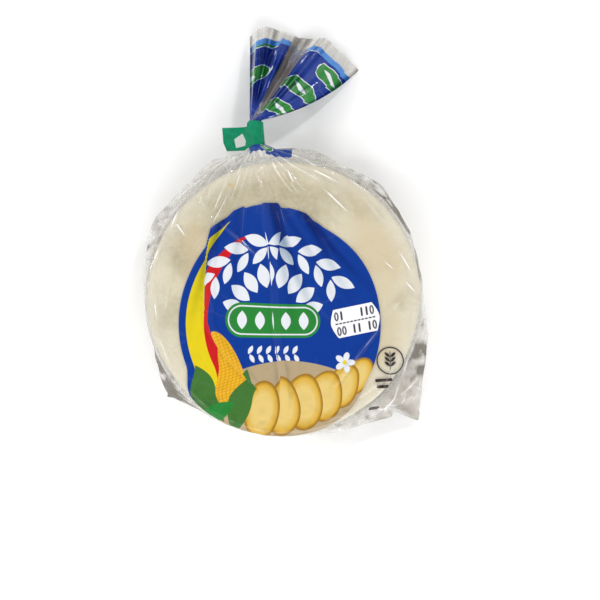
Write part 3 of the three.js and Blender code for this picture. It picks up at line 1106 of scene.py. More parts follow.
def upper_sections():
    """Radius and height of the rows from the middle of the face to the folded edge."""
    face_radius = STACK_RADIUS - TOP_ROUND
    rows = [(face_radius * k / FACE_ROWS * ones, PACK_HEIGHT * ones) for k in range(1, FACE_ROWS + 1)]
    for turn in quarter_turns(ROUND_ROWS)[1:]:
        rounded = TOP_ROUND * (1 - math.cos(turn))
        rows.append(((face_radius + TOP_ROUND * math.sin(turn)) * ones, (PACK_HEIGHT - rounded) * ones))
    top, edge = (STACK_RADIUS, PACK_HEIGHT - TOP_ROUND), (fold_radius, fold_height + lip)
    rows += wall_rows(top, edge, np.arange(1, WALL_ROWS + 1) / WALL_ROWS)
    return [np.array(values) for values in zip(*rows)]


def lower_sections():
    """The same from the folded edge to the middle of the base."""
    edge, foot = (fold_radius, fold_height - lip), (STACK_RADIUS, BASE_ROUND)
    rows = wall_rows(edge, foot, np.arange(LOWER_WALL_ROWS) / LOWER_WALL_ROWS)
    for turn in quarter_turns(LOWER_ROUND_ROWS):
        inwards = BASE_ROUND * (1 - math.cos(turn))
        rows.append(((STACK_RADIUS - inwards) * ones, BASE_ROUND * (1 - math.sin(turn)) * ones))
    base_radius = STACK_RADIUS - BASE_ROUND
    rows += [(base_radius * (1 - k / BASE_ROWS) * ones, 0 * ones) for k in range(1, BASE_ROWS)]
    return [np.array(values) for values in zip(*rows)]


def round_the_stack(reach):
    """x and y of a reach from the middle in each column's direction."""
    turn = np.radians(directions)
    return reach * np.cos(turn), reach * np.sin(turn)


def film_length(radius, height):
    """How far each row is from the first, along the film."""
    steps = np.hypot(np.diff(radius, axis=0), np.diff(height, axis=0))
    return radius[0] + np.concatenate([0 * steps[:1], np.cumsum(steps, axis=0)])


def normals_of(points):
    """Outward normals of a sheet whose columns wrap."""
    down = np.gradient(points, axis=0)
    round_about = np.roll(points, -1, axis=1) - np.roll(points, 1, axis=1)
    normals = np.cross(down, round_about)
    return normals / np.maximum(np.linalg.norm(normals, axis=-1, keepdims=True), 1e-9)


upper_radius, upper_height = upper_sections()
lower_radius, lower_height = lower_sections()
upper = np.stack([*round_the_stack(upper_radius), upper_height], -1)
lower = np.stack([*round_the_stack(lower_radius), lower_height], -1)
length = film_length(upper_radius, upper_height)
print(f"outline {fold_radius.min():.1f} to {fold_radius.max():.1f} mm from the middle")

# %% Where the film lies tight and where it is slack
TIGHT_GAP, SLACK_GAP = 0.5, 6  # from the stack to the folded edge
CORNER_HALF_WIDTH = 17  # degrees
down_wall = np.zeros(upper_radius.shape)  # 0 on the face and the rim, rising to 1 at the folded edge
down_wall[FACE_ROWS + ROUND_ROWS :] = np.linspace(0, 1, WALL_ROWS + 1)[1:, None]
up_wall = np.zeros(lower_radius.shape)  # 1 at the folded edge, falling to 0 at the foot of the wall
up_wall[:LOWER_WALL_ROWS] = np.linspace(1, 0, LOWER_WALL_ROWS, endpoint=False)[:, None]


def wall_fade(share):
    """0 at the rim, 1 half way down the wall, and about 0.4 at the folded edge."""
    return np.sin(np.pi * np.clip(share * 0.92, 0, 1)) ** 0.7


upper_fade, lower_fade = wall_fade(down_wall), wall_fade(up_wall)
slack = smooth_step(TIGHT_GAP, SLACK_GAP, fold_radius - STACK_RADIUS)[None, :]
turn_grid = np.broadcast_to(directions, upper_radius.shape)
lower_turn = np.broadcast_to(directions, lower_radius.shape)
at_corner = bell(turn_between(turn_grid, FREE_CORNER), CORNER_HALF_WIDTH)
print(f"slack film on {100 * slack.mean():.0f}% of the way round")

# %% Wrinkles of the upper film
UPRIGHT_WRINKLES, FINE_WRINKLES, RIM_CRUMPLE = 0.55, 0.25, 0.35
FREE_FACETS, FINE_FACETS, CORNER_FACETS = 1.7, 0.55, 2.4
x, y = upper[..., 0], upper[..., 1]
fold_rise, fold_shift = fan_folds(x, y)
pleat_rise, pleat_shift = pleats(x, y)


def face_wrinkles():
    """Folds, which fade down the wall, and fine unevenness, which is stronger near the rim."""
    rim_share = smooth_step(52, 66, upper_radius)
    folds = fold_rise + pleat_rise + short_creases(x, y) + fan_gathers(x, y) * (1 - 0.5 * down_wall)
    folds = folds * np.where(down_wall > 0, 1 - down_wall**2, 1)
    at_rim = RIM_CRUMPLE * rim_share * (1 - down_wall) * crumple(x, y, size=8, seed=45)
    return folds + (face_crumple(x, y) + at_rim)


def wall_wrinkles():
    """Upright wrinkles, as where a tube is gathered, with fine ones between."""
    upright = 1 - np.abs(lattice_noise(turn_grid / 4.5 + 0.4 * down_wall, down_wall * 1.2, seed=31))
    fine = crumple(turn_grid * 1.2, length, size=6, seed=51)
    return upper_fade * (UPRIGHT_WRINKLES * upright + FINE_WRINKLES * fine)


def free_facets():
    """Crumpled facets where the film stands free, larger ones in the free corner."""
    crumpled = FREE_FACETS * facets(x, y, size=13, turned=20, seed=61)
    crumpled = crumpled + FINE_FACETS * facets(x, y, size=6, turned=65, seed=65)
    in_corner = at_corner * CORNER_FACETS * facets(x, y, size=21, turned=50, seed=67)
    return upper_fade * slack * ((1 - at_corner) * crumpled + in_corner)


rise = face_wrinkles() + wall_wrinkles() + free_facets()
upper_film = upper + normals_of(upper) * rise[..., None]
print(f"wrinkles of the upper film up to {rise.max():.1f} mm high")

# %% Wrinkles of the lower film
LOWER_WRINKLES, LOWER_FACETS = 0.5, 0.9
lower_rise = lower_fade * (LOWER_WRINKLES * (1 - np.abs(lattice_noise(lower_turn / 4.8, up_wall, seed=71))))
lower_facets = facets(lower[..., 0], lower[..., 1], size=11, turned=40, seed=75)
lower_rise += lower_fade * slack * LOWER_FACETS * lower_facets
lower_film = lower + normals_of(lower) * lower_rise[..., None]
film_points = np.vstack([upper_film, lower_film])
film_points[..., 2] = np.maximum(film_points[..., 2], 0.0)
print(f"wrinkles of the lower film up to {lower_rise.max():.1f} mm high")


# %% Flat film coordinates, and the mesh
def with_first_column(grid):
    return np.concatenate([grid, grid[:, :1]], axis=1)


def fill_base(piece):
    """Fills the small ring left in the middle of the base."""
    shell = bmesh.new()
    shell.from_mesh(piece.data)
    rim = [edge for edge in shell.edges if edge.is_boundary]
    bmesh.ops.holes_fill(shell, edges=rim, sides=COLUMNS + 1)
    shell.to_mesh(piece.data)
    shell.free()


lower_length = length[-1] + film_length(lower_radius, lower_height) - lower_radius[0]
flat_upper = np.stack(round_the_stack(length), -1) + fold_shift + pleat_shift
flat_lower = np.stack(round_the_stack(lower_length), -1)
flat_film = with_first_column(np.vstack([flat_upper, flat_lower]))
top_middle = (0.0, 0.0, upper_film[0, :, 2].mean())
film_bag = sheet_from_rows("film_bag", film_points, wraps=True, flat=flat_film, pole=top_middle)
fill_base(film_bag)
print(f"film_bag: {len(film_bag.data.polygons)} faces")

# %% What the film's material reads from each vertex
WALL_SHADE_SPREAD = 3.5  # how soon below the rim the shade of a wall is full


def local_relief(rise, rows, columns):
    """How far each point stands above the mean of its neighbours."""
    mean = sum(np.roll(rise, k, axis=1) for k in range(-columns, columns + 1)) / (2 * columns + 1)
    padded = np.pad(mean, ((rows, rows), (0, 0)), mode="edge")
    mean = sum(padded[k : k + len(rise)] for k in range(2 * rows + 1)) / (2 * rows + 1)
    return rise - mean


def wall_shades():
    """The shade of the walls, in patches and with long streaks."""
    streaks = np.abs(lattice_noise(turn_grid / 6, down_wall * 11, seed=49))
    patches = 0.45 + 0.55 * smooth_step(-0.4, 0.5, facets(x, y, size=9, turned=30, seed=48))
    for middle, half_width, depth, streaked in SHADED_WALLS:
        near = bell(turn_between(turn_grid, middle), half_width)
        shaded = near * np.minimum(1, WALL_SHADE_SPREAD * upper_fade)
        yield depth * shaded * (patches - streaked * streaks)


upper_loose = np.minimum(1, upper_fade * 1.6) * slack * (1 + 0.9 * at_corner)
loose = np.vstack([upper_loose, lower_fade * slack])
relief = local_relief(np.vstack([rise, lower_rise]), 2, 4) * (0.35 + 0.65 * np.minimum(1, loose))
# Painted light: the film is painted paler near the tape
relief[: len(upper_film)] += 0.20 * bell(np.hypot(*from_tape(x, y)), 24)
# The shaded walls go into the relief, so the material paints them dark, as painted shade
for shade in wall_shades():
    relief[: len(upper_film)] -= shade
line_across, line_strength = crest_lines(x, y)
line_strength = line_strength * (1 - down_wall**3)
at_pole = 0.0  # the point in the middle of the face comes last
below_fold = np.zeros(lower_radius.size + 1)
for name, values, rest in (
    ("relief", relief, at_pole),
    ("loose", loose, at_pole),
    ("fold_shade", fold_shades(x, y), below_fold),
    ("line_across", line_across, below_fold + LINE_REACH),
    ("line_strength", line_strength, below_fold),
):
    add_mask(film_bag, name, np.append(values.ravel(), rest))
print(f"film_bag: relief from {relief.min():.1f} to {relief.max():.1f} mm")

# %% [markdown]
# ## The tail
#
# Past the tape the gathered film opens into a fan. It is the bag's mouth, so it has two layers, and
# because the film is much wider than the fan it stands in ruffles, deep at the mouth and tight at the
# neck. It is a loop of points carried along the neck and out along the fan's rays: the loop's position
# from left to right sets the ray and the ruffle, and its upper and lower halves are the two layers.

# %% The neck and the fan
TAIL_LEFT_RAY, TAIL_RIGHT_RAY = 91.0, 31.0
TAIL_LEFT_LENGTH, TAIL_RIGHT_LENGTH = 50.0, 61.0
MOUTH_WAVER = 1.2
TAIL_DROP = 14.6  # how far the mouth lies below the neck
TAIL_BULGE = math.radians(17)  # how much flatter the right edge leaves the tape than it ends
TAIL_COLUMNS = 400
NECK_ROWS, FAN_ROWS = 18, 90
FLUTE_DEPTH = 0.05  # of the gathers round the neck, as a share of its radius
LAYER_GAP = 0.35  # the least half distance between the two layers
RUFFLE_DEPTH = 8.0  # above and below the middle, at the mouth
RUFFLE_PERIOD, FIRST_RIDGE = 1.05, -0.7  # across the fan, whose edges are at -1 and 1
PLEAT_RISE, FINE_PLEAT_RISE, DENT_RISE, RADIAL_RISE = 2.0, 0.45, 1.3, 0.5

crosswise = np.array([math.cos(NECK_LEAN), math.sin(NECK_LEAN), 0])
lengthwise = np.array([-math.sin(NECK_LEAN), math.cos(NECK_LEAN), 0])
upwards = np.array([0, 0, 1.0])


def by_neck(along, across, up):
    """Points from their distance along the neck's axis, to its right and above it."""
    parts = zip((along, across, up), (lengthwise, crosswise, upwards))
    return NECK_CENTRE + sum(np.asarray(amount)[..., None] * axis for amount, axis in parts)


def across_fan(left, right):
    """A number that changes evenly from the fan's left edge to its right."""
    return left + (right - left) * fan_share


loop = np.linspace(0, 2 * math.pi, TAIL_COLUMNS, endpoint=False)
nothing = 0 * loop
loop_across, loop_side = np.cos(loop), np.sin(loop)
flutes = 1 - FLUTE_DEPTH * (1 + np.cos(11 * loop)) - FLUTE_DEPTH * (1 + np.cos(7 * loop + 1))
girth = NECK_RADIUS * flutes
fan_share = (loop_across + 1) / 2
fan_ray = np.radians(across_fan(TAIL_LEFT_RAY, TAIL_RIGHT_RAY))
fan_length = across_fan(TAIL_LEFT_LENGTH, TAIL_RIGHT_LENGTH)
fan_length = fan_length + MOUTH_WAVER * lattice_noise(fan_share * 9, loop_side * 0.5 + 3, seed=83)
print(f"tail {fan_length.min():.0f} to {fan_length.max():.0f} mm long")

# %% Ruffles of the fan
layer = np.sign(loop_side) * np.abs(loop_side) ** 0.35  # 1 on the upper layer and -1 on the lower
layers_apart = np.maximum(LAYER_GAP, 0.8 + 0.9 * lattice_noise(fan_share * 5, nothing + 2, seed=89))
ruffle_turn = loop_across - FIRST_RIDGE
broad = np.cos(2 * math.pi * ruffle_turn / RUFFLE_PERIOD)
sharp = 1 - 2 * np.abs(np.sin(math.pi * ruffle_turn / RUFFLE_PERIOD)) ** 0.8
ruffle = 0.6 * broad + 0.4 * sharp
narrow = crest_noise(fan_share * 9, nothing, seed=85)
fine = crest_noise(fan_share * 21, loop_side * 0.4 + 1, seed=87)
radial = crest_noise(fan_share * 17, nothing, seed=96)
print(f"ruffles {RUFFLE_DEPTH * (ruffle.max() - ruffle.min()):.0f} mm deep at the mouth")


def neck_row(along):
    return by_neck(along + nothing, girth * loop_across, girth * loop_side)


def fan_row(reach):
    """The loop's points at a share of the fan's length, and a relief for the material, which paints it as
    highlight and shade: how far each point stands out, with the ruffles' hollows as painted shade and
    radial streaks as painted highlight and shade.
    """
    spread = smooth_step(0, 0.4, reach)  # 0 where the neck is round, 1 where the fan is two layers
    distance = fan_length * reach
    thickness = girth * (1 - spread) + layers_apart * spread
    rounding = loop_side * (1 - spread) + layer * spread
    dented = facets(fan_share * 60, distance, size=13, turned=35, seed=91) * DENT_RISE * spread
    pleated = narrow * PLEAT_RISE * reach**0.6 * spread + fine * FINE_PLEAT_RISE * spread
    up = thickness * rounding + RUFFLE_DEPTH * reach * ruffle
    up = up + pleated + dented + RADIAL_RISE * radial * spread - TAIL_DROP * reach**1.3
    root = by_neck(NECK_LENGTH / 2 + 0.3 + nothing, girth * loop_across, up)
    bent = fan_ray - TAIL_BULGE * (1 - reach) * smooth_step(0.55, 1, fan_share)
    ahead = np.stack([np.cos(bent), np.sin(bent), nothing], -1)
    # The ruffles' hollows and the radial streaks go into the relief only for the material: painted shade and
    # painted highlight
    streaks = 0.36 * (radial - 0.25) * (1 - 0.4 * reach)
    stands_out = (pleated + dented) * 0.16 + (0.24 * np.minimum(ruffle, 0.2) + streaks) * spread
    return root + distance[:, None] * ahead, stands_out * np.sign(loop_side + 1e-9)


# %% The tail's mesh
TAIL_BACK = 200.0  # how far the back layer's coordinates are from the front's
HIDDEN_PLEATS = 6.5  # across the fan
JUMP_ACROSS, JUMP_ALONG = 1.6, 2.0  # how far the print jumps at one at most
FAN_WIDENS = 1.05  # how much wider the flat film is for each millimetre away from the neck
TAIL_GROUND = 0.3  # the least height of the tail
TAIL_LOOSE = 0.6  # how milky the tail is, as a share of the loosest film


def tail_flat_film(out):
    """Across and from the mouth, at true scale, for a row at a distance out from the neck."""
    pleat = np.floor(fan_share * HIDDEN_PLEATS)
    jump_across = JUMP_ACROSS * lattice_noise(pleat * 1.7, 0, seed=93)
    jump_along = JUMP_ALONG * lattice_noise(pleat * 1.7, 5, seed=94)
    behind = np.where(loop_side < 0, TAIL_BACK, 0.0)
    width = 2 * NECK_RADIUS + FAN_WIDENS * np.maximum(out, 0)
    return np.stack([(fan_share - 0.5) * width + jump_across + behind, fan_length - out + jump_along], -1)


neck_start = -NECK_LENGTH / 2 - 0.5
fan_reaches = np.arange(1, FAN_ROWS + 1) / FAN_ROWS
neck_points = [neck_row(along) for along in np.linspace(neck_start, NECK_LENGTH / 2, NECK_ROWS)]
fan_points, fan_relief = zip(*(fan_row(reach) for reach in fan_reaches))
tail_points = np.array([*neck_points, *fan_points])
tail_points[..., 2] = np.maximum(tail_points[..., 2], TAIL_GROUND)
tail_relief = np.array([*[nothing] * NECK_ROWS, *fan_relief])
flat_outs = [*np.linspace(-NECK_LENGTH, 0, NECK_ROWS), *(fan_length * reach for reach in fan_reaches)]
tail_flat = np.array([tail_flat_film(out + nothing) for out in flat_outs])
film_tail = sheet_from_rows("film_tail", tail_points, wraps=True, flat=with_first_column(tail_flat))
add_mask(film_tail, "relief", tail_relief)
add_mask(film_tail, "loose", np.full(tail_relief.shape, TAIL_LOOSE))
add_mask(film_tail, "line_strength", np.zeros(tail_relief.shape))
print(f"film_tail: {len(film_tail.data.polygons)} faces")

# %% [markdown]
# ## The print
#
# The bag's face carries a blue round field with white, green, yellow and tan shapes. They are a generic
# design: a wreath of white leaves, a crown of petals, a green bar with white drops, golden discs and a
# corn cob on a tan ground, and two coloured crescents. Each layer is painted over the one before with a
# shape's mask. Beside the field the clear film carries a dark ring with a sprig and a few short bars. All
# of it is one group that puts out a colour and where there is ink.

# %% Print colours
BLUE = ink(8, 54, 140)
TAIL_BLUE = ink(0, 44, 132)
LIGHT_BLUE = ink(70, 130, 200)
WHITE = ink(218, 221, 226)
GREEN = ink(40, 125, 52)
LEAF_GREEN = ink(62, 110, 48)
YELLOW = ink(216, 194, 24)
RED = ink(194, 26, 30)
TAN = ink(172, 152, 120)
GOLD_RIM = ink(150, 108, 36)
GOLD = ink(206, 162, 52)
PALE_GOLD = ink(218, 192, 118)
COB_YELLOW = ink(224, 172, 36)
COB_SHADE = ink(196, 138, 24)
BROWN = ink(48, 34, 26)

FIELD_CENTRE = (-3.0, -12.9)
FIELD_RADIUS = 58.0
print("blue of the field:", [round(level, 3) for level in BLUE])


# %% Painting with shapes
class PrintLayers:
    """The print so far: its colour, and where clear film has ink on it."""

    def __init__(self, tree, place, ground):
        self.tree = tree
        self.place = place
        self.colour = ground
        self.ink = None

    def shape(self, group, centre, turn, length, width, place=None):
        """A shape's node. Lengths are in millimetres and turn is in degrees."""
        values = {"Centre": (*centre, 0.0), "Turn": math.radians(turn), "Length": length, "Width": width}
        return add_group(self.tree, group, Place=place or self.place, **values)

    def paint(self, mask, colour, within=None):
        """Paints over ink that is there already."""
        if within is not None:
            mask = mask * within
        self.colour = mix_colour(self.tree, mask, self.colour, colour)

    def paint_clear(self, mask, colour):
        """Paints on clear film."""
        self.paint(mask, colour)
        self.ink = mask if self.ink is None else self.ink.most(mask)

    def add(self, group, centre, turn, length, width, colour, within=None, place=None):
        made = self.shape(group, centre, turn, length, width, place)
        self.paint(mask_of(made), colour, within)
        return made

    def add_clear(self, group, centre, turn, length, width, colour):
        made = self.shape(group, centre, turn, length, width)
        self.paint_clear(mask_of(made), colour)
        return made


def less(rim, core):
    """The mask of one shape without another."""
    return mask_of(rim) * (1.0 - mask_of(core))


def band(number, low, high):
    """1 where a number is between two values."""
    return (number - low).inside(PRINT_EDGE) * (high - number).inside(PRINT_EDGE)


def on_circle(radius, degrees):
    return radius * math.cos(math.radians(degrees)), radius * math.sin(math.radians(degrees))


# %% Motifs on the field
def print_crescents(layers, field):
    """A yellow and a red crescent along the field's left side."""
    for reach, shift, turned, colour in ((108.5, 15.0, 18, YELLOW), (90, 13.5, 6, RED)):
        rim = layers.shape(OVAL, (0, 0), 0, reach, reach)
        core = layers.shape(OVAL, on_circle(shift, turned), 0, reach + 9, reach + 9)
        layers.paint(less(rim, core), colour, field)


def print_wreath(layers):
    """An arch of white leaves in pairs, alike on both sides, and a crown of white petals under it."""
    half = mirrored(layers.tree, layers.place)
    arch = folded_round(layers.tree, half, middle=(0, -6), start=90, step=14, first=-4, last=-0.5)
    layers.add(LEAF, (47, 0), -58, 13, 5.5, WHITE, place=arch)
    layers.add(LEAF, (39.5, 0), 58, 11, 4.6, WHITE, place=arch)
    crown = folded_round(layers.tree, layers.place, middle=(0, 0), start=90, step=18, first=-4, last=4)
    layers.add(LEAF, (24, 0), 0, 12, 6.5, WHITE, place=crown)


def print_green_bar(layers):
    middle = (0, 1)
    layers.add(BAR, middle, 0, 54, 17, GREEN)
    rim, core = layers.shape(BAR, middle, 0, 51.4, 14.4), layers.shape(BAR, middle, 0, 50, 13)
    layers.paint(less(rim, core), WHITE)
    row = folded_along(layers.tree, layers.place, step=9.2, first=-2, last=2)
    layers.add(LEAF, middle, 90, 9, 5, WHITE, place=row)


def print_small_sprig(layers):
    """Small white leaves in two rows, between the bar and the discs."""
    row = folded_along(layers.tree, layers.place, step=4.6, first=-3, last=3)
    layers.add(LEAF, (0, -13.6), 62, 4.8, 2.2, WHITE, place=row)
    layers.add(LEAF, (0.8, -18.0), -62, 4.8, 2.2, WHITE, place=row)


def print_discs(layers, field):
    """Overlapping golden discs, brown at the rim and pale in the middle."""
    for centre, length, turned in (
        ((45, -27), 22, 50),
        ((37, -32), 25, 56),
        ((27, -37), 28, 62),
        ((16, -40), 30, 70),
        ((4, -42), 31, 76),
        ((-8, -44), 30, 82),
    ):
        disc = layers.shape(OVAL, centre, turned, length, length * 0.6)
        dome = number_from(disc, "Dome")
        layers.paint(mask_of(disc), GOLD_RIM, field)
        layers.paint((dome - 0.10).inside(0.12) * mask_of(disc), GOLD, field)
        layers.paint((dome - 0.30).inside(0.34) * 0.9, PALE_GOLD, field)


def print_cob(layers, field):
    """A corn cob that leans left between husk leaves."""
    layers.add(LEAF, (-38, -36), 128, 36, 11, LEAF_GREEN, field)
    cob = layers.add(OVAL, (-26, -27), 110, 46, 18, COB_YELLOW, field)
    rows, columns = number_from(cob, "Along") * 1.9, number_from(cob, "Across") * 1.7
    kernels = rows.math("SINE") * columns.math("SINE")
    gaps = mask_of(cob) * (0.35 - abs(kernels)).inside(0.5) * 0.75
    layers.paint(gaps, COB_SHADE, field)
    layers.add(LEAF, (-19, -40), 78, 34, 12, LEAF_GREEN, field)
    layers.add(LEAF, (-32, -46), 30, 24, 9, GREEN, field)


def print_blossom(layers):
    middle = (39, -20)
    petals = folded_round(layers.tree, layers.place, middle, start=0, step=72, first=-2, last=2)
    layers.add(OVAL, (3, 0), 0, 4.6, 3.0, WHITE, place=petals)
    layers.add(OVAL, middle, 0, 2.2, 2.2, YELLOW)


# %% Motifs beside the field
RING_CENTRE = (62.3, -19.2)
# Dark bars, as [to the right of the ring, below it, turn, length, width]
SMALL_BARS = [
    [-3.6, 9.8, 4, 9.0, 1.7],
    [-4.6, 13.0, 4, 6.4, 1.7],
    [-9.5, 27.0, -14, 8.0, 2.8],
]


def print_beside_field(layers):
    """A ring with a sprig, and short bars, in dark ink on the clear film."""
    right, up = RING_CENTRE
    rim, core = layers.shape(OVAL, RING_CENTRE, 0, 14.2, 14.2), layers.shape(OVAL, RING_CENTRE, 0, 12.6, 12.6)
    layers.paint_clear(less(rim, core), BROWN)
    layers.add_clear(BAR, RING_CENTRE, 90, 9.5, 0.5, BROWN)
    for k in range(3):
        for side in (-1, 1):
            layers.add_clear(LEAF, (right + side * 1.5, up - 1.6 + 2.3 * k), 90 - side * 48, 3.8, 1.6, BROWN)
    for across, down, turned, length, width in SMALL_BARS:
        layers.add_clear(BAR, (right + across, up - down), turned, length, width, BROWN)


def print_badge(layers, centre, turn, size=1.0):
    """A green badge with a white rim and a white leaf on it."""
    layers.add(BAR, centre, turn, 16.0 * size, 9.0 * size, WHITE)
    layers.add(BAR, centre, turn, 16.0 * size - 0.9, 9.0 * size - 0.9, GREEN)
    layers.add(LEAF, centre, turn + 24, 8.0 * size, 2.4 * size, WHITE)


def print_by_neck(layers, place):
    """The end of the tail's blue print, which shows along the shoulder by the neck."""
    across, out = part_along(layers.tree, place, 0), part_along(layers.tree, place, 1)
    side = (16.0 - abs(across + 4.0)).inside(PRINT_EDGE)
    layers.paint_clear(band(out, 75.4, 86.5) * side, BLUE)
    layers.place = place
    print_badge(layers, (-3.6, 81.8), 2, 0.6)


# %% Print groups
# Distances from the mouth of the tail: the film is clear up to the first, and a line ends at the second
CLEAR_MOUTH, LINE_TOP = 6.0, 9.0
# Where the tail's clear strip starts to widen, towards the mouth, and where it fades in
STRIP_START, STRIP_END = 59.0, 54.0
# Badges on the tail, as [across, distance from the mouth, turn]
TAIL_BADGES = [
    [20, 15, -4],
    [9.5, 30, -2],
    [6, 46, 0],
    [-14.5, 25, 4],
    [-17, 6, 6],
    [7, 5, -6],
]


def start_print(name):
    return new_group(name, {"Place": "Vector"}, {"Colour": "Color", "Ink": "Float"})


def build_bag_print():
    group, inputs, outputs = start_print("Bag Print")
    place = vector_math(group, "SUBTRACT", inputs.outputs["Place"], (*FIELD_CENTRE, 0.0))
    layers = PrintLayers(group, place, WHITE)
    field = mask_of(layers.add_clear(OVAL, (0, 0), 0, 2 * FIELD_RADIUS, 2 * FIELD_RADIUS, BLUE))
    print_crescents(layers, field)
    print_wreath(layers)
    print_green_bar(layers)
    print_small_sprig(layers)
    layers.add(OVAL, (8, -58), 0, 112, 78, TAN, field)
    print_discs(layers, field)
    print_cob(layers, field)
    print_blossom(layers)
    print_beside_field(layers)
    print_by_neck(layers, inputs.outputs["Place"])
    put_out(outputs, Colour=layers.colour, Ink=layers.ink)
    return group


def build_tail_print():
    """Blue with green badges on both layers, a clear strip, and a light blue line by the clear mouth."""
    group, inputs, outputs = start_print("Tail Print")
    place = inputs.outputs["Place"]
    across, from_mouth = part_along(group, place, 0), part_along(group, place, 1)
    layers = PrintLayers(group, place, TAIL_BLUE)
    for side in (0.0, TAIL_BACK):
        for out, up, turn in TAIL_BADGES:
            print_badge(layers, (out + side, up), turn)
    layers.paint(band(from_mouth, CLEAR_MOUTH, LINE_TOP), LIGHT_BLUE)
    strip = ((STRIP_START - from_mouth) * 0.10 - abs(across + 0.4)).inside(0.8)
    past_mouth = (from_mouth - CLEAR_MOUTH).inside(PRINT_EDGE)
    printed = past_mouth * (1.0 - strip * (STRIP_END - from_mouth).inside(4.0))
    put_out(outputs, Colour=layers.colour, Ink=printed)
    return group


bag_print, tail_print = build_bag_print(), build_tail_print()
print(f"bag print: {len(bag_print.nodes)} nodes, tail print: {len(tail_print.nodes)} nodes")

# %% [markdown]
# ## Film
#
# Film lets nearly everything through, mirrors a little at every angle and a lot where it is seen edge on,
# and is a bit milky where it was creased. Its white lines along crests and facet edges are partly that
# whitening and partly painted highlights, and its valleys and shaded walls are painted dark, as painted
# shade. Glass would bend light as if the film were thick, so the clear part is a Transparent shader.
# Printed film is a Principled shader with the print's colours. One mix joins the two by where there is
# ink, and a second mix adds the gloss of both. Its share grows with the fifth power of how edge on the
# film is seen, and is cut in the valleys and on shaded walls, as painted shade. The Fresnel node isn't
# used, because it takes the inner side of the film for the inside of a block of glass, and makes a
# mirror of it.

# %% Crumple and crest groups
def build_crumple_lines():
    """Sharp lines where crumpled facets meet, in patches, which the film shows white, partly as crease
    whitening and partly as painted highlight. Size is the facets' size, in the unit of Place.
    """
    sockets = {"Place": "Vector", "Size": "Float"}
    group, inputs, outputs = new_group("Crumple Lines", sockets, {"Mask": "Float", "Height": "Float"})
    place = inputs.outputs["Place"]
    scale = number_from(inputs, "Size").math("POWER", -1.0)
    warp = add_noise(group, place, scale * 0.6, 1.0)
    pushed = vector_math(group, "ADD", warp.outputs["Color"], vector_math(group, "SCALE", place, scale))
    values = {"Vector": pushed, "Scale": 1.0}
    cells = add_node(group, "ShaderNodeTexVoronoi", values, feature="DISTANCE_TO_EDGE")
    where = noise(group, place, scale * 0.45, 0.0)
    distance = number_from(cells, "Distance")
    patch = (where - 0.57).inside(0.1)
    put_out(outputs, Mask=(0.03 - distance).inside(0.05) * patch)
    put_out(outputs, Height=(1.0 - distance * 4.0).most(0.0) * patch)
    return group


def build_crest_line():
    """A thin line along a crest, from the numbers that the mesh keeps for each vertex."""
    sockets = {"Across": "Float", "Strength": "Float"}
    group, inputs, outputs = new_group("Crest Line", sockets, {"Mask": "Float"})
    across, strength = number_from(inputs, "Across"), number_from(inputs, "Strength")
    put_out(outputs, Mask=(strength * 0.42 - 0.04 - abs(across)).inside(0.22) * strength)
    return group


CRUMPLE_LINES, CREST_LINE = build_crumple_lines(), build_crest_line()
print("crease groups:", [group.name for group in (CRUMPLE_LINES, CREST_LINE)])

# %% Film material
FILM_TINT = (0.965, 0.965, 0.955)
HAZE_COLOUR = (0.63, 0.60, 0.55)
LAYERED_HAZE = (0.50, 0.455, 0.395)
# Crests and white lines are painted near white, partly crease whitening and partly painted highlight
CREST_COLOUR = (0.90, 0.89, 0.87)
# Painted shade: valleys and shaded walls are painted dark, made less clear and lose their gloss
PAINTED_SHADE_COLOUR = (0.13, 0.112, 0.092)
VALLEY_SHADE = (0.18, 0.30, 0.42)
FILM_HAZE = 0.03
LOOSE_HAZE = 0.30
EDGE_ON_HAZE = 0.13
CREST_WHITE_AND_GLINT = 0.34
PAINTED_VALLEY_COVER = 0.56
FACET_WHITE_AND_GLINT = 0.22
LINE_WHITE_AND_GLINT = 0.72
MOST_HAZE = 0.9
INK_COVER = 0.985
CREST_GAIN, VALLEY_GAIN = 2.2, -2.6  # from a millimetre of relief to the crest's white, partly painted highlight, and the valley's painted shade
FILM_MIRROR = 0.028  # seen square on, a little under real film, because this room is paler than the real one
FILM_GLOSS = 0.11  # the roughness of what it mirrors
BAG_FACETS, TAIL_FACETS = 15.0, 9.0


def film_marks(tree, place, facet_size):
    """How loose the film is, its crests, shown white as crease whitening and painted highlight, its valleys,
    shown dark as painted shade, and its white lines, partly crease whitening and partly painted highlights,
    as numbers from 0, and the node of its facets."""
    relief, loose, across, strength = (
        mask_kept(tree, name) for name in ("relief", "loose", "line_across", "line_strength")
    )
    line = add_group(tree, CREST_LINE, Across=across, Strength=strength)
    crumpled = add_group(tree, CRUMPLE_LINES, Place=place, Size=facet_size)
    crest, valley = (relief * CREST_GAIN).most(0.0), (relief * VALLEY_GAIN).most(0.0).least(0.9)
    return loose, crest, valley, mask_of(line), crumpled


def film_normal(tree, place, crumpled):
    """The facets' bumps with fine grain on them."""
    values = {"Strength": 0.5, "Distance": 0.35 * MM, "Height": crumpled.outputs["Height"]}
    facet_bump = add_node(tree, "ShaderNodeBump", values).outputs[0]
    return grain_bump(tree, place, size=3.2, fine_share=0.35, strength=0.30, depth=0.25, Normal=facet_bump)


def printed_colour(tree, printed, crest, valley, pale_lines):
    """The print, with painted shade in its folds, and paler along crests and crease lines, partly where
    creasing whitened the ink and partly as painted highlights.
    """
    # Painted shade in the print's folds
    folded = (valley * 2.0 + mask_kept(tree, "fold_shade")).least(1.0)
    shaded = mix_colour(tree, folded, printed.outputs["Colour"], VALLEY_SHADE, "MULTIPLY")
    # Painted highlight and whitened ink along crests and crease lines
    whitened = (crest * 0.05 + pale_lines).least(0.4)
    return mix_colour(tree, whitened, shaded, WHITE)


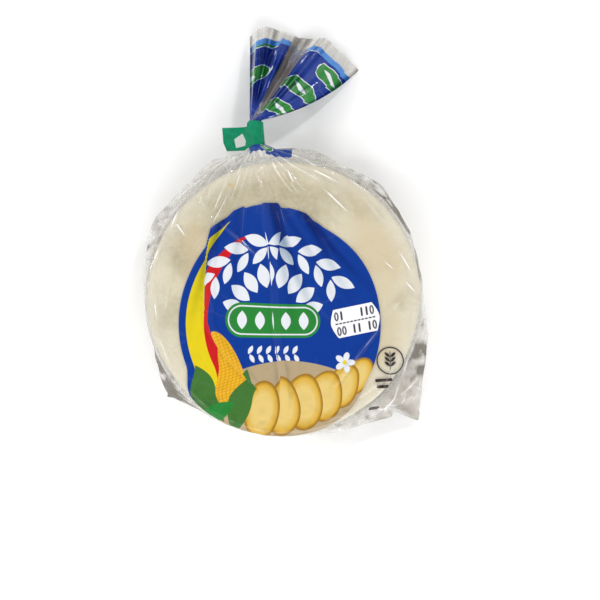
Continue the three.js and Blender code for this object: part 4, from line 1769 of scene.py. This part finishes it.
def show_film(tree, cover, colour, edge_on, valley, normal):
    """Clear film, covered by haze or ink where cover is 1, under the gloss of both."""
    values = {"Base Color": colour, "Roughness": 0.5, "Specular IOR Level": 0.0, "Normal": normal}
    body = add_node(tree, "ShaderNodeBsdfPrincipled", values)
    clear = add_node(tree, "ShaderNodeBsdfTransparent", {"Color": (*FILM_TINT, 1.0)})
    covered = add_node(tree, "ShaderNodeMixShader", {0: cover, 1: clear.outputs[0], 2: body.outputs[0]})
    values = {"Color": (1, 1, 1, 1), "Roughness": FILM_GLOSS, "Normal": normal}
    gloss = add_node(tree, "ShaderNodeBsdfGlossy", values)
    # The gloss is cut in valleys and on shaded walls, as painted shade
    mirror = (edge_on**5.0 * (1 - FILM_MIRROR) + FILM_MIRROR) * (1.0 - valley)
    show_surface(tree, "ShaderNodeMixShader", {0: mirror, 1: covered.outputs[0], 2: gloss.outputs[0]})


def build_film(name, print_group, facet_size):
    """Film with a print, or wholly clear where print_group is None."""
    material, tree = new_material(name)
    place = object_place(tree)
    place_mm = vector_math(tree, "SCALE", place, 1 / MM)
    loose, crest, valley, line, crumpled = film_marks(tree, place_mm, facet_size)
    normal = film_normal(tree, place, crumpled)
    weight = add_node(tree, "ShaderNodeLayerWeight", {"Blend": 0.5, "Normal": normal})
    edge_on = number_from(weight, "Facing")
    facet_lines = mask_of(crumpled) * (loose * 0.7 + 0.3)
    # White on crests, facet edges and crest lines: partly crease whitening, partly painted highlights
    pale = crest * CREST_WHITE_AND_GLINT + facet_lines * FACET_WHITE_AND_GLINT + line * LINE_WHITE_AND_GLINT
    # the valleys' cover is painted shade
    haze = pale + loose * LOOSE_HAZE + valley * PAINTED_VALLEY_COVER + edge_on**2.0 * EDGE_ON_HAZE + FILM_HAZE
    cover = haze.least(MOST_HAZE)
    layered = (loose - 1.0).math("MULTIPLY", 1.2, clamp=True)
    colour = mix_colour(tree, layered, HAZE_COLOUR, LAYERED_HAZE)
    colour = mix_colour(tree, (pale * 2.5).least(1.0), colour, CREST_COLOUR)
    # Painted shade in valleys and on shaded walls
    colour = mix_colour(tree, valley, colour, PAINTED_SHADE_COLOUR)
    if print_group:
        printed = add_group(tree, print_group, Place=flat_place(tree))
        inked = number_from(printed, "Ink")
        cover = (inked * INK_COVER).most(cover)
        # White lines on the ink: partly whitened ink, partly painted highlights
        whitening_and_glints = facet_lines * 0.05 + line * 0.28
        colour = mix_colour(tree, inked, colour, printed_colour(tree, printed, crest, valley, whitening_and_glints))
    show_film(tree, cover, colour, edge_on, valley, normal)
    return material


# %% Film on the bag and the tail
PRINTED_BACK = 14  # degrees from the neck within which the tail's print reaches round to the underside


def clear_back(piece):
    """Gives the underside the clear film, but not by the neck."""
    back = np.zeros((len(film_points) - 1, COLUMNS), int)
    back[len(upper_film) :, np.abs(from_neck) > PRINTED_BACK] = 1
    rest = len(piece.data.polygons) - back.size
    on_base = np.append(np.zeros(rest - 1, int), 1)
    piece.data.polygons.foreach_set("material_index", np.append(back.ravel(), on_base))


film_bag.data.materials.append(build_film("printed_film", bag_print, BAG_FACETS))
film_bag.data.materials.append(build_film("clear_film", None, BAG_FACETS))
clear_back(film_bag)
film_tail.data.materials.append(build_film("tail_film", tail_print, TAIL_FACETS))
print("film:", [material.name for material in (*film_bag.data.materials, *film_tail.data.materials)])

# %% [markdown]
# ## The tape
#
# Bag-neck tape is one ribbon. It runs round the gathered film, and its two ends are pressed together into
# a flag. The dispenser's teeth tore a window beside the neck and cut one corner off. So the ribbon is
# made as a ribbon: a path round the neck and out to the flag's end and back, swept to the tape's width,
# then given its thickness, and the window is cut out of it with a Boolean.

# %% Tape ribbon
TAPE_RADIUS = 3.78
TAPE_THICKNESS = 0.16
PATH_POINTS, WIDTH_POINTS = 260, 45
PINCH = 6.6  # from the neck's axis to where the two ends meet
FLAG_START = (4.0, 4.6)  # from the axis, where the ribbon turns from the band into the flag
FLAG_END = 17.8
FLAG_TOP, FLAG_BOTTOM = 3.7, -8.4  # along the neck
FLAG_CHAMFER = (1.6, 4.4)  # how far the torn corner goes in, and how far up
FLAG_RISE = math.radians(12)
BAND_TOP, BAND_BOTTOM = 5.7, -5.6  # along the neck, at its right side
BAND_FLARE_TOP, BAND_FLARE_BOTTOM = 0.8, 2.4  # how much further out they are at its left
WINDOW = [(-7.3, 0.5), (-11.7, -2.3), (-11.2, -7.0), (-6.3, -6.0), (-5.8, -3.4)]
WINDOW_REACH = (-14.0, 18.0)  # of the cutter, below and above the neck's axis


def ribbon_path(count):
    """Points round the neck as seen along it, from one end of the flag to the other."""
    touch = math.pi - math.acos(TAPE_RADIUS / PINCH)
    arc = np.linspace(touch, -touch, 90)
    flutes = 1 + 0.02 * np.cos(11 * arc)
    round_neck = np.stack([TAPE_RADIUS * flutes * np.cos(arc), TAPE_RADIUS * flutes * np.sin(arc)], -1)
    gap = TAPE_THICKNESS * 0.7
    flag_x = np.linspace(-FLAG_END, -PINCH, 40)
    wave = 0.25 * np.sin((flag_x + PINCH) / 2.6)
    upper_end = np.stack([flag_x, gap + wave], -1)
    lower_end = np.stack([flag_x[::-1], -gap + wave[::-1]], -1)
    path = np.vstack([upper_end, round_neck, lower_end])
    steps = np.concatenate([[0], np.cumsum(np.linalg.norm(np.diff(path, axis=0), axis=1))])
    even = np.linspace(0, steps[-1], count)
    return np.stack([np.interp(even, steps, path[:, k]) for k in range(2)], -1)


def ribbon_edges(path):
    """How far along the neck the ribbon's upper and lower edges are, at each point of its path."""
    in_flag = smooth_step(*FLAG_START, -path[:, 0])[:, None]
    leftward = smooth_step(TAPE_RADIUS, -TAPE_RADIUS, path[:, 0])[:, None]
    top = (BAND_TOP + BAND_FLARE_TOP * leftward) * (1 - in_flag) + FLAG_TOP * in_flag
    bottom = (BAND_BOTTOM - BAND_FLARE_BOTTOM * leftward) * (1 - in_flag) + FLAG_BOTTOM * in_flag
    return top, bottom, in_flag


def make_tape():
    path = ribbon_path(PATH_POINTS)
    top, bottom, in_flag = ribbon_edges(path)
    over_width = np.linspace(-1, 1, WIDTH_POINTS)
    along = bottom + (top - bottom) * (over_width[None, :] + 1) / 2
    cut_in, cut_up = FLAG_CHAMFER
    cut = np.clip((FLAG_BOTTOM + cut_up - along) / cut_up, 0, 1) * cut_in
    across = np.maximum(np.broadcast_to(path[:, :1], along.shape), -FLAG_END + cut)
    up = np.broadcast_to(path[:, 1:], along.shape)
    crinkle = lattice_noise(across / 2.2 + 9, along / 2.8, seed=97) * 0.10 * in_flag
    crinkle = crinkle + lattice_noise(across * 1.1, along / 1.6, seed=98) * 0.05
    turned_across, turned_up = turned_axes(across, up + crinkle, FLAG_RISE)
    return sheet_from_rows("neck_tape", by_neck(along, turned_across, turned_up))


def make_window_cutter():
    """An upright prism with the window's outline."""
    across, along = np.array(WINDOW).T
    count = len(WINDOW)
    rows = [by_neck(along, across, np.full(count, height)) for height in WINDOW_REACH]
    cutter = sheet_from_rows("window_cutter", np.array(rows), wraps=True)
    faces = [list(polygon.vertices) for polygon in cutter.data.polygons]
    faces += [list(range(count))[::-1], list(range(count, 2 * count))]
    closed = bpy.data.meshes.new("window_cutter")
    closed.from_pydata([vertex.co.copy() for vertex in cutter.data.vertices], [], faces)
    closed.validate()
    cutter.data = closed
    return cutter


def cut_window(piece, cutter):
    """Adds the Boolean, turns the piece into a plain mesh and takes the cutter out of the scene."""
    window = piece.modifiers.new("window", "BOOLEAN")
    window.object = cutter
    window.solver = "EXACT"
    settle_modifiers(piece)
    bpy.data.objects.remove(cutter)


neck_tape = make_tape()
thicken(neck_tape, TAPE_THICKNESS, offset=0)
cut_window(neck_tape, make_window_cutter())

# %% [markdown]
# ## The date label
#
# A price gun sticks on a small paper label whose ends bulge. It lies on the film and follows it, with its
# ends a little up. Its rows cross from one end to the other, so the outline needs no cutting. The stamp
# is rings and upright bars in two rows, with a fine dashed line between them, and spells nothing.

# %% Label
LABEL_WIDTH, LABEL_HEIGHT = 25.0, 14.6
LABEL_CENTRE = np.array([36.2, -11.5])
LABEL_TURN = math.radians(11.6)
LABEL_CUT = 2.6  # how much each end loses at its corners
LABEL_THICKNESS = 0.14
LABEL_ROWS, LABEL_COLUMNS = 49, 91
LABEL_GAP = 0.12  # between the film and the label
END_LIFT, LABEL_WAVE = 0.25, 0.12


def make_label():
    t = np.linspace(0, 1, LABEL_ROWS)[:, None]
    s = np.linspace(-1, 1, LABEL_COLUMNS)[None, :]
    across = s * (LABEL_WIDTH / 2 - LABEL_CUT * np.abs(2 * t - 1) ** 1.5)
    up_label = (t - 0.5) * LABEL_HEIGHT + 0 * s
    x = LABEL_CENTRE[0] + across * math.cos(LABEL_TURN) - up_label * math.sin(LABEL_TURN)
    y = LABEL_CENTRE[1] + across * math.sin(LABEL_TURN) + up_label * math.cos(LABEL_TURN)
    film_rise = fan_folds(x, y)[0] + pleats(x, y)[0] + short_creases(x, y) + face_crumple(x, y)
    lift = END_LIFT * np.abs(s) ** 6 + LABEL_WAVE * (1 + lattice_noise(x / 8, y / 8, seed=99))
    surface = np.stack([x, y, PACK_HEIGHT + film_rise + LABEL_GAP + lift], -1)
    return sheet_from_rows("price_label", surface, flat=np.stack([across, up_label], -1))


price_label = make_label()
thicken(price_label, LABEL_THICKNESS, offset=1)
settle_modifiers(price_label)

# %% Paper and tape materials
PAPER = ink(230, 230, 234)
STAMP = ink(44, 42, 50)
TAPE_GREEN = ink(0, 132, 93)
TAPE_DARK = ink(0, 118, 82)
TAPE_FLECKS_IN_METRE = 420.0
STAMP_LEAN = 86  # degrees, of the marks' long side
MARK_LENGTH, BAR_WIDTH, RING_WIDTH = 4.6, 1.0, 2.3
MARK_START, MARK_STEP = -9.0, 2.6
STAMP_ROWS = {3.6: "or   rro", -4.0: "oo rr ro"}  # by height: a ring for o, a bar for r and a gap for a space
DASHES, DASH_START, DASH_STEP = 11, -9.5, 1.9


def print_mark(layers, mark, centre):
    if mark == "o":
        rim = layers.shape(OVAL, centre, STAMP_LEAN, MARK_LENGTH, RING_WIDTH)
        core = layers.shape(OVAL, centre, STAMP_LEAN, 2.9, 0.8)
        layers.paint(less(rim, core), STAMP)
    if mark == "r":
        layers.add(BAR, centre, STAMP_LEAN, MARK_LENGTH, BAR_WIDTH, STAMP)


def build_label_finish():
    material, tree = new_material("label_paper")
    layers = PrintLayers(tree, flat_place(tree), PAPER)
    for height, marks in STAMP_ROWS.items():
        for number, mark in enumerate(marks):
            print_mark(layers, mark, (MARK_START + MARK_STEP * number, height))
    for k in range(DASHES):
        layers.add(BAR, (DASH_START + DASH_STEP * k, -0.2), 0, 1.6, 0.7, STAMP)
    normal = grain_bump(tree, object_place(tree), size=0.6, fine_share=0.5, strength=0.4, depth=0.05)
    values = {"Base Color": layers.colour, "Roughness": 0.55, "Specular IOR Level": 0.35, "Normal": normal}
    show_surface(tree, "ShaderNodeBsdfPrincipled", values)
    return material


def build_tape_finish():
    material, tree = new_material("green_tape")
    place = object_place(tree)
    share = (noise(tree, place, TAPE_FLECKS_IN_METRE, 4.0) - 0.5).inside(0.3)
    colour = mix_colour(tree, share, TAPE_GREEN, TAPE_DARK)
    normal = grain_bump(tree, place, size=1.1, fine_share=0.5, strength=0.8, depth=0.18)
    values = {"Base Color": colour, "Roughness": 0.38, "Specular IOR Level": 0.15, "Normal": normal}
    show_surface(tree, "ShaderNodeBsdfPrincipled", values)
    return material


neck_tape.data.materials.append(build_tape_finish())
price_label.data.materials.append(build_label_finish())
print("finishes:", [piece.data.materials[0].name for piece in (neck_tape, price_label)])

# %% [markdown]
# ## Floor
#
# The floor is plain and pale, and lies just under the bag so that the two never cross.

# %% Floor
FLOOR_HALF = 1500.0
FLOOR_DROP = 0.4
FLOOR_GREY = (0.94, 0.94, 0.94, 1.0)


def make_floor():
    half = FLOOR_HALF
    corners = [[[x, y, -FLOOR_DROP] for y in (half, -half)] for x in (-half, half)]
    floor = sheet_from_rows("floor", np.array(corners))
    material, tree = new_material("pale_floor")
    show_surface(tree, "ShaderNodeBsdfPrincipled", {"Base Color": FLOOR_GREY, "Roughness": 0.85})
    floor.data.materials.append(material)
    return floor


make_floor()
print(f"floor {FLOOR_DROP} mm under the bag")

# %% [markdown]
# ## Hand over to the frame
#
# Every piece rides on the frame's one body. The film and the arepas stand for the bag's solid, and the
# tape and the label for theirs.

# %% Bodies and what is replaced
for piece, slot, node in (
    (film_bag, "film", "bag"),
    (film_tail, "film", "bag"),
    (neck_tape, "tape", "closure_tape"),
    (price_label, "label", "date_label"),
    *((arepa, "arepa", "bag") for arepa in arepas),
):
    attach(piece, "root")
    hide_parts(node)
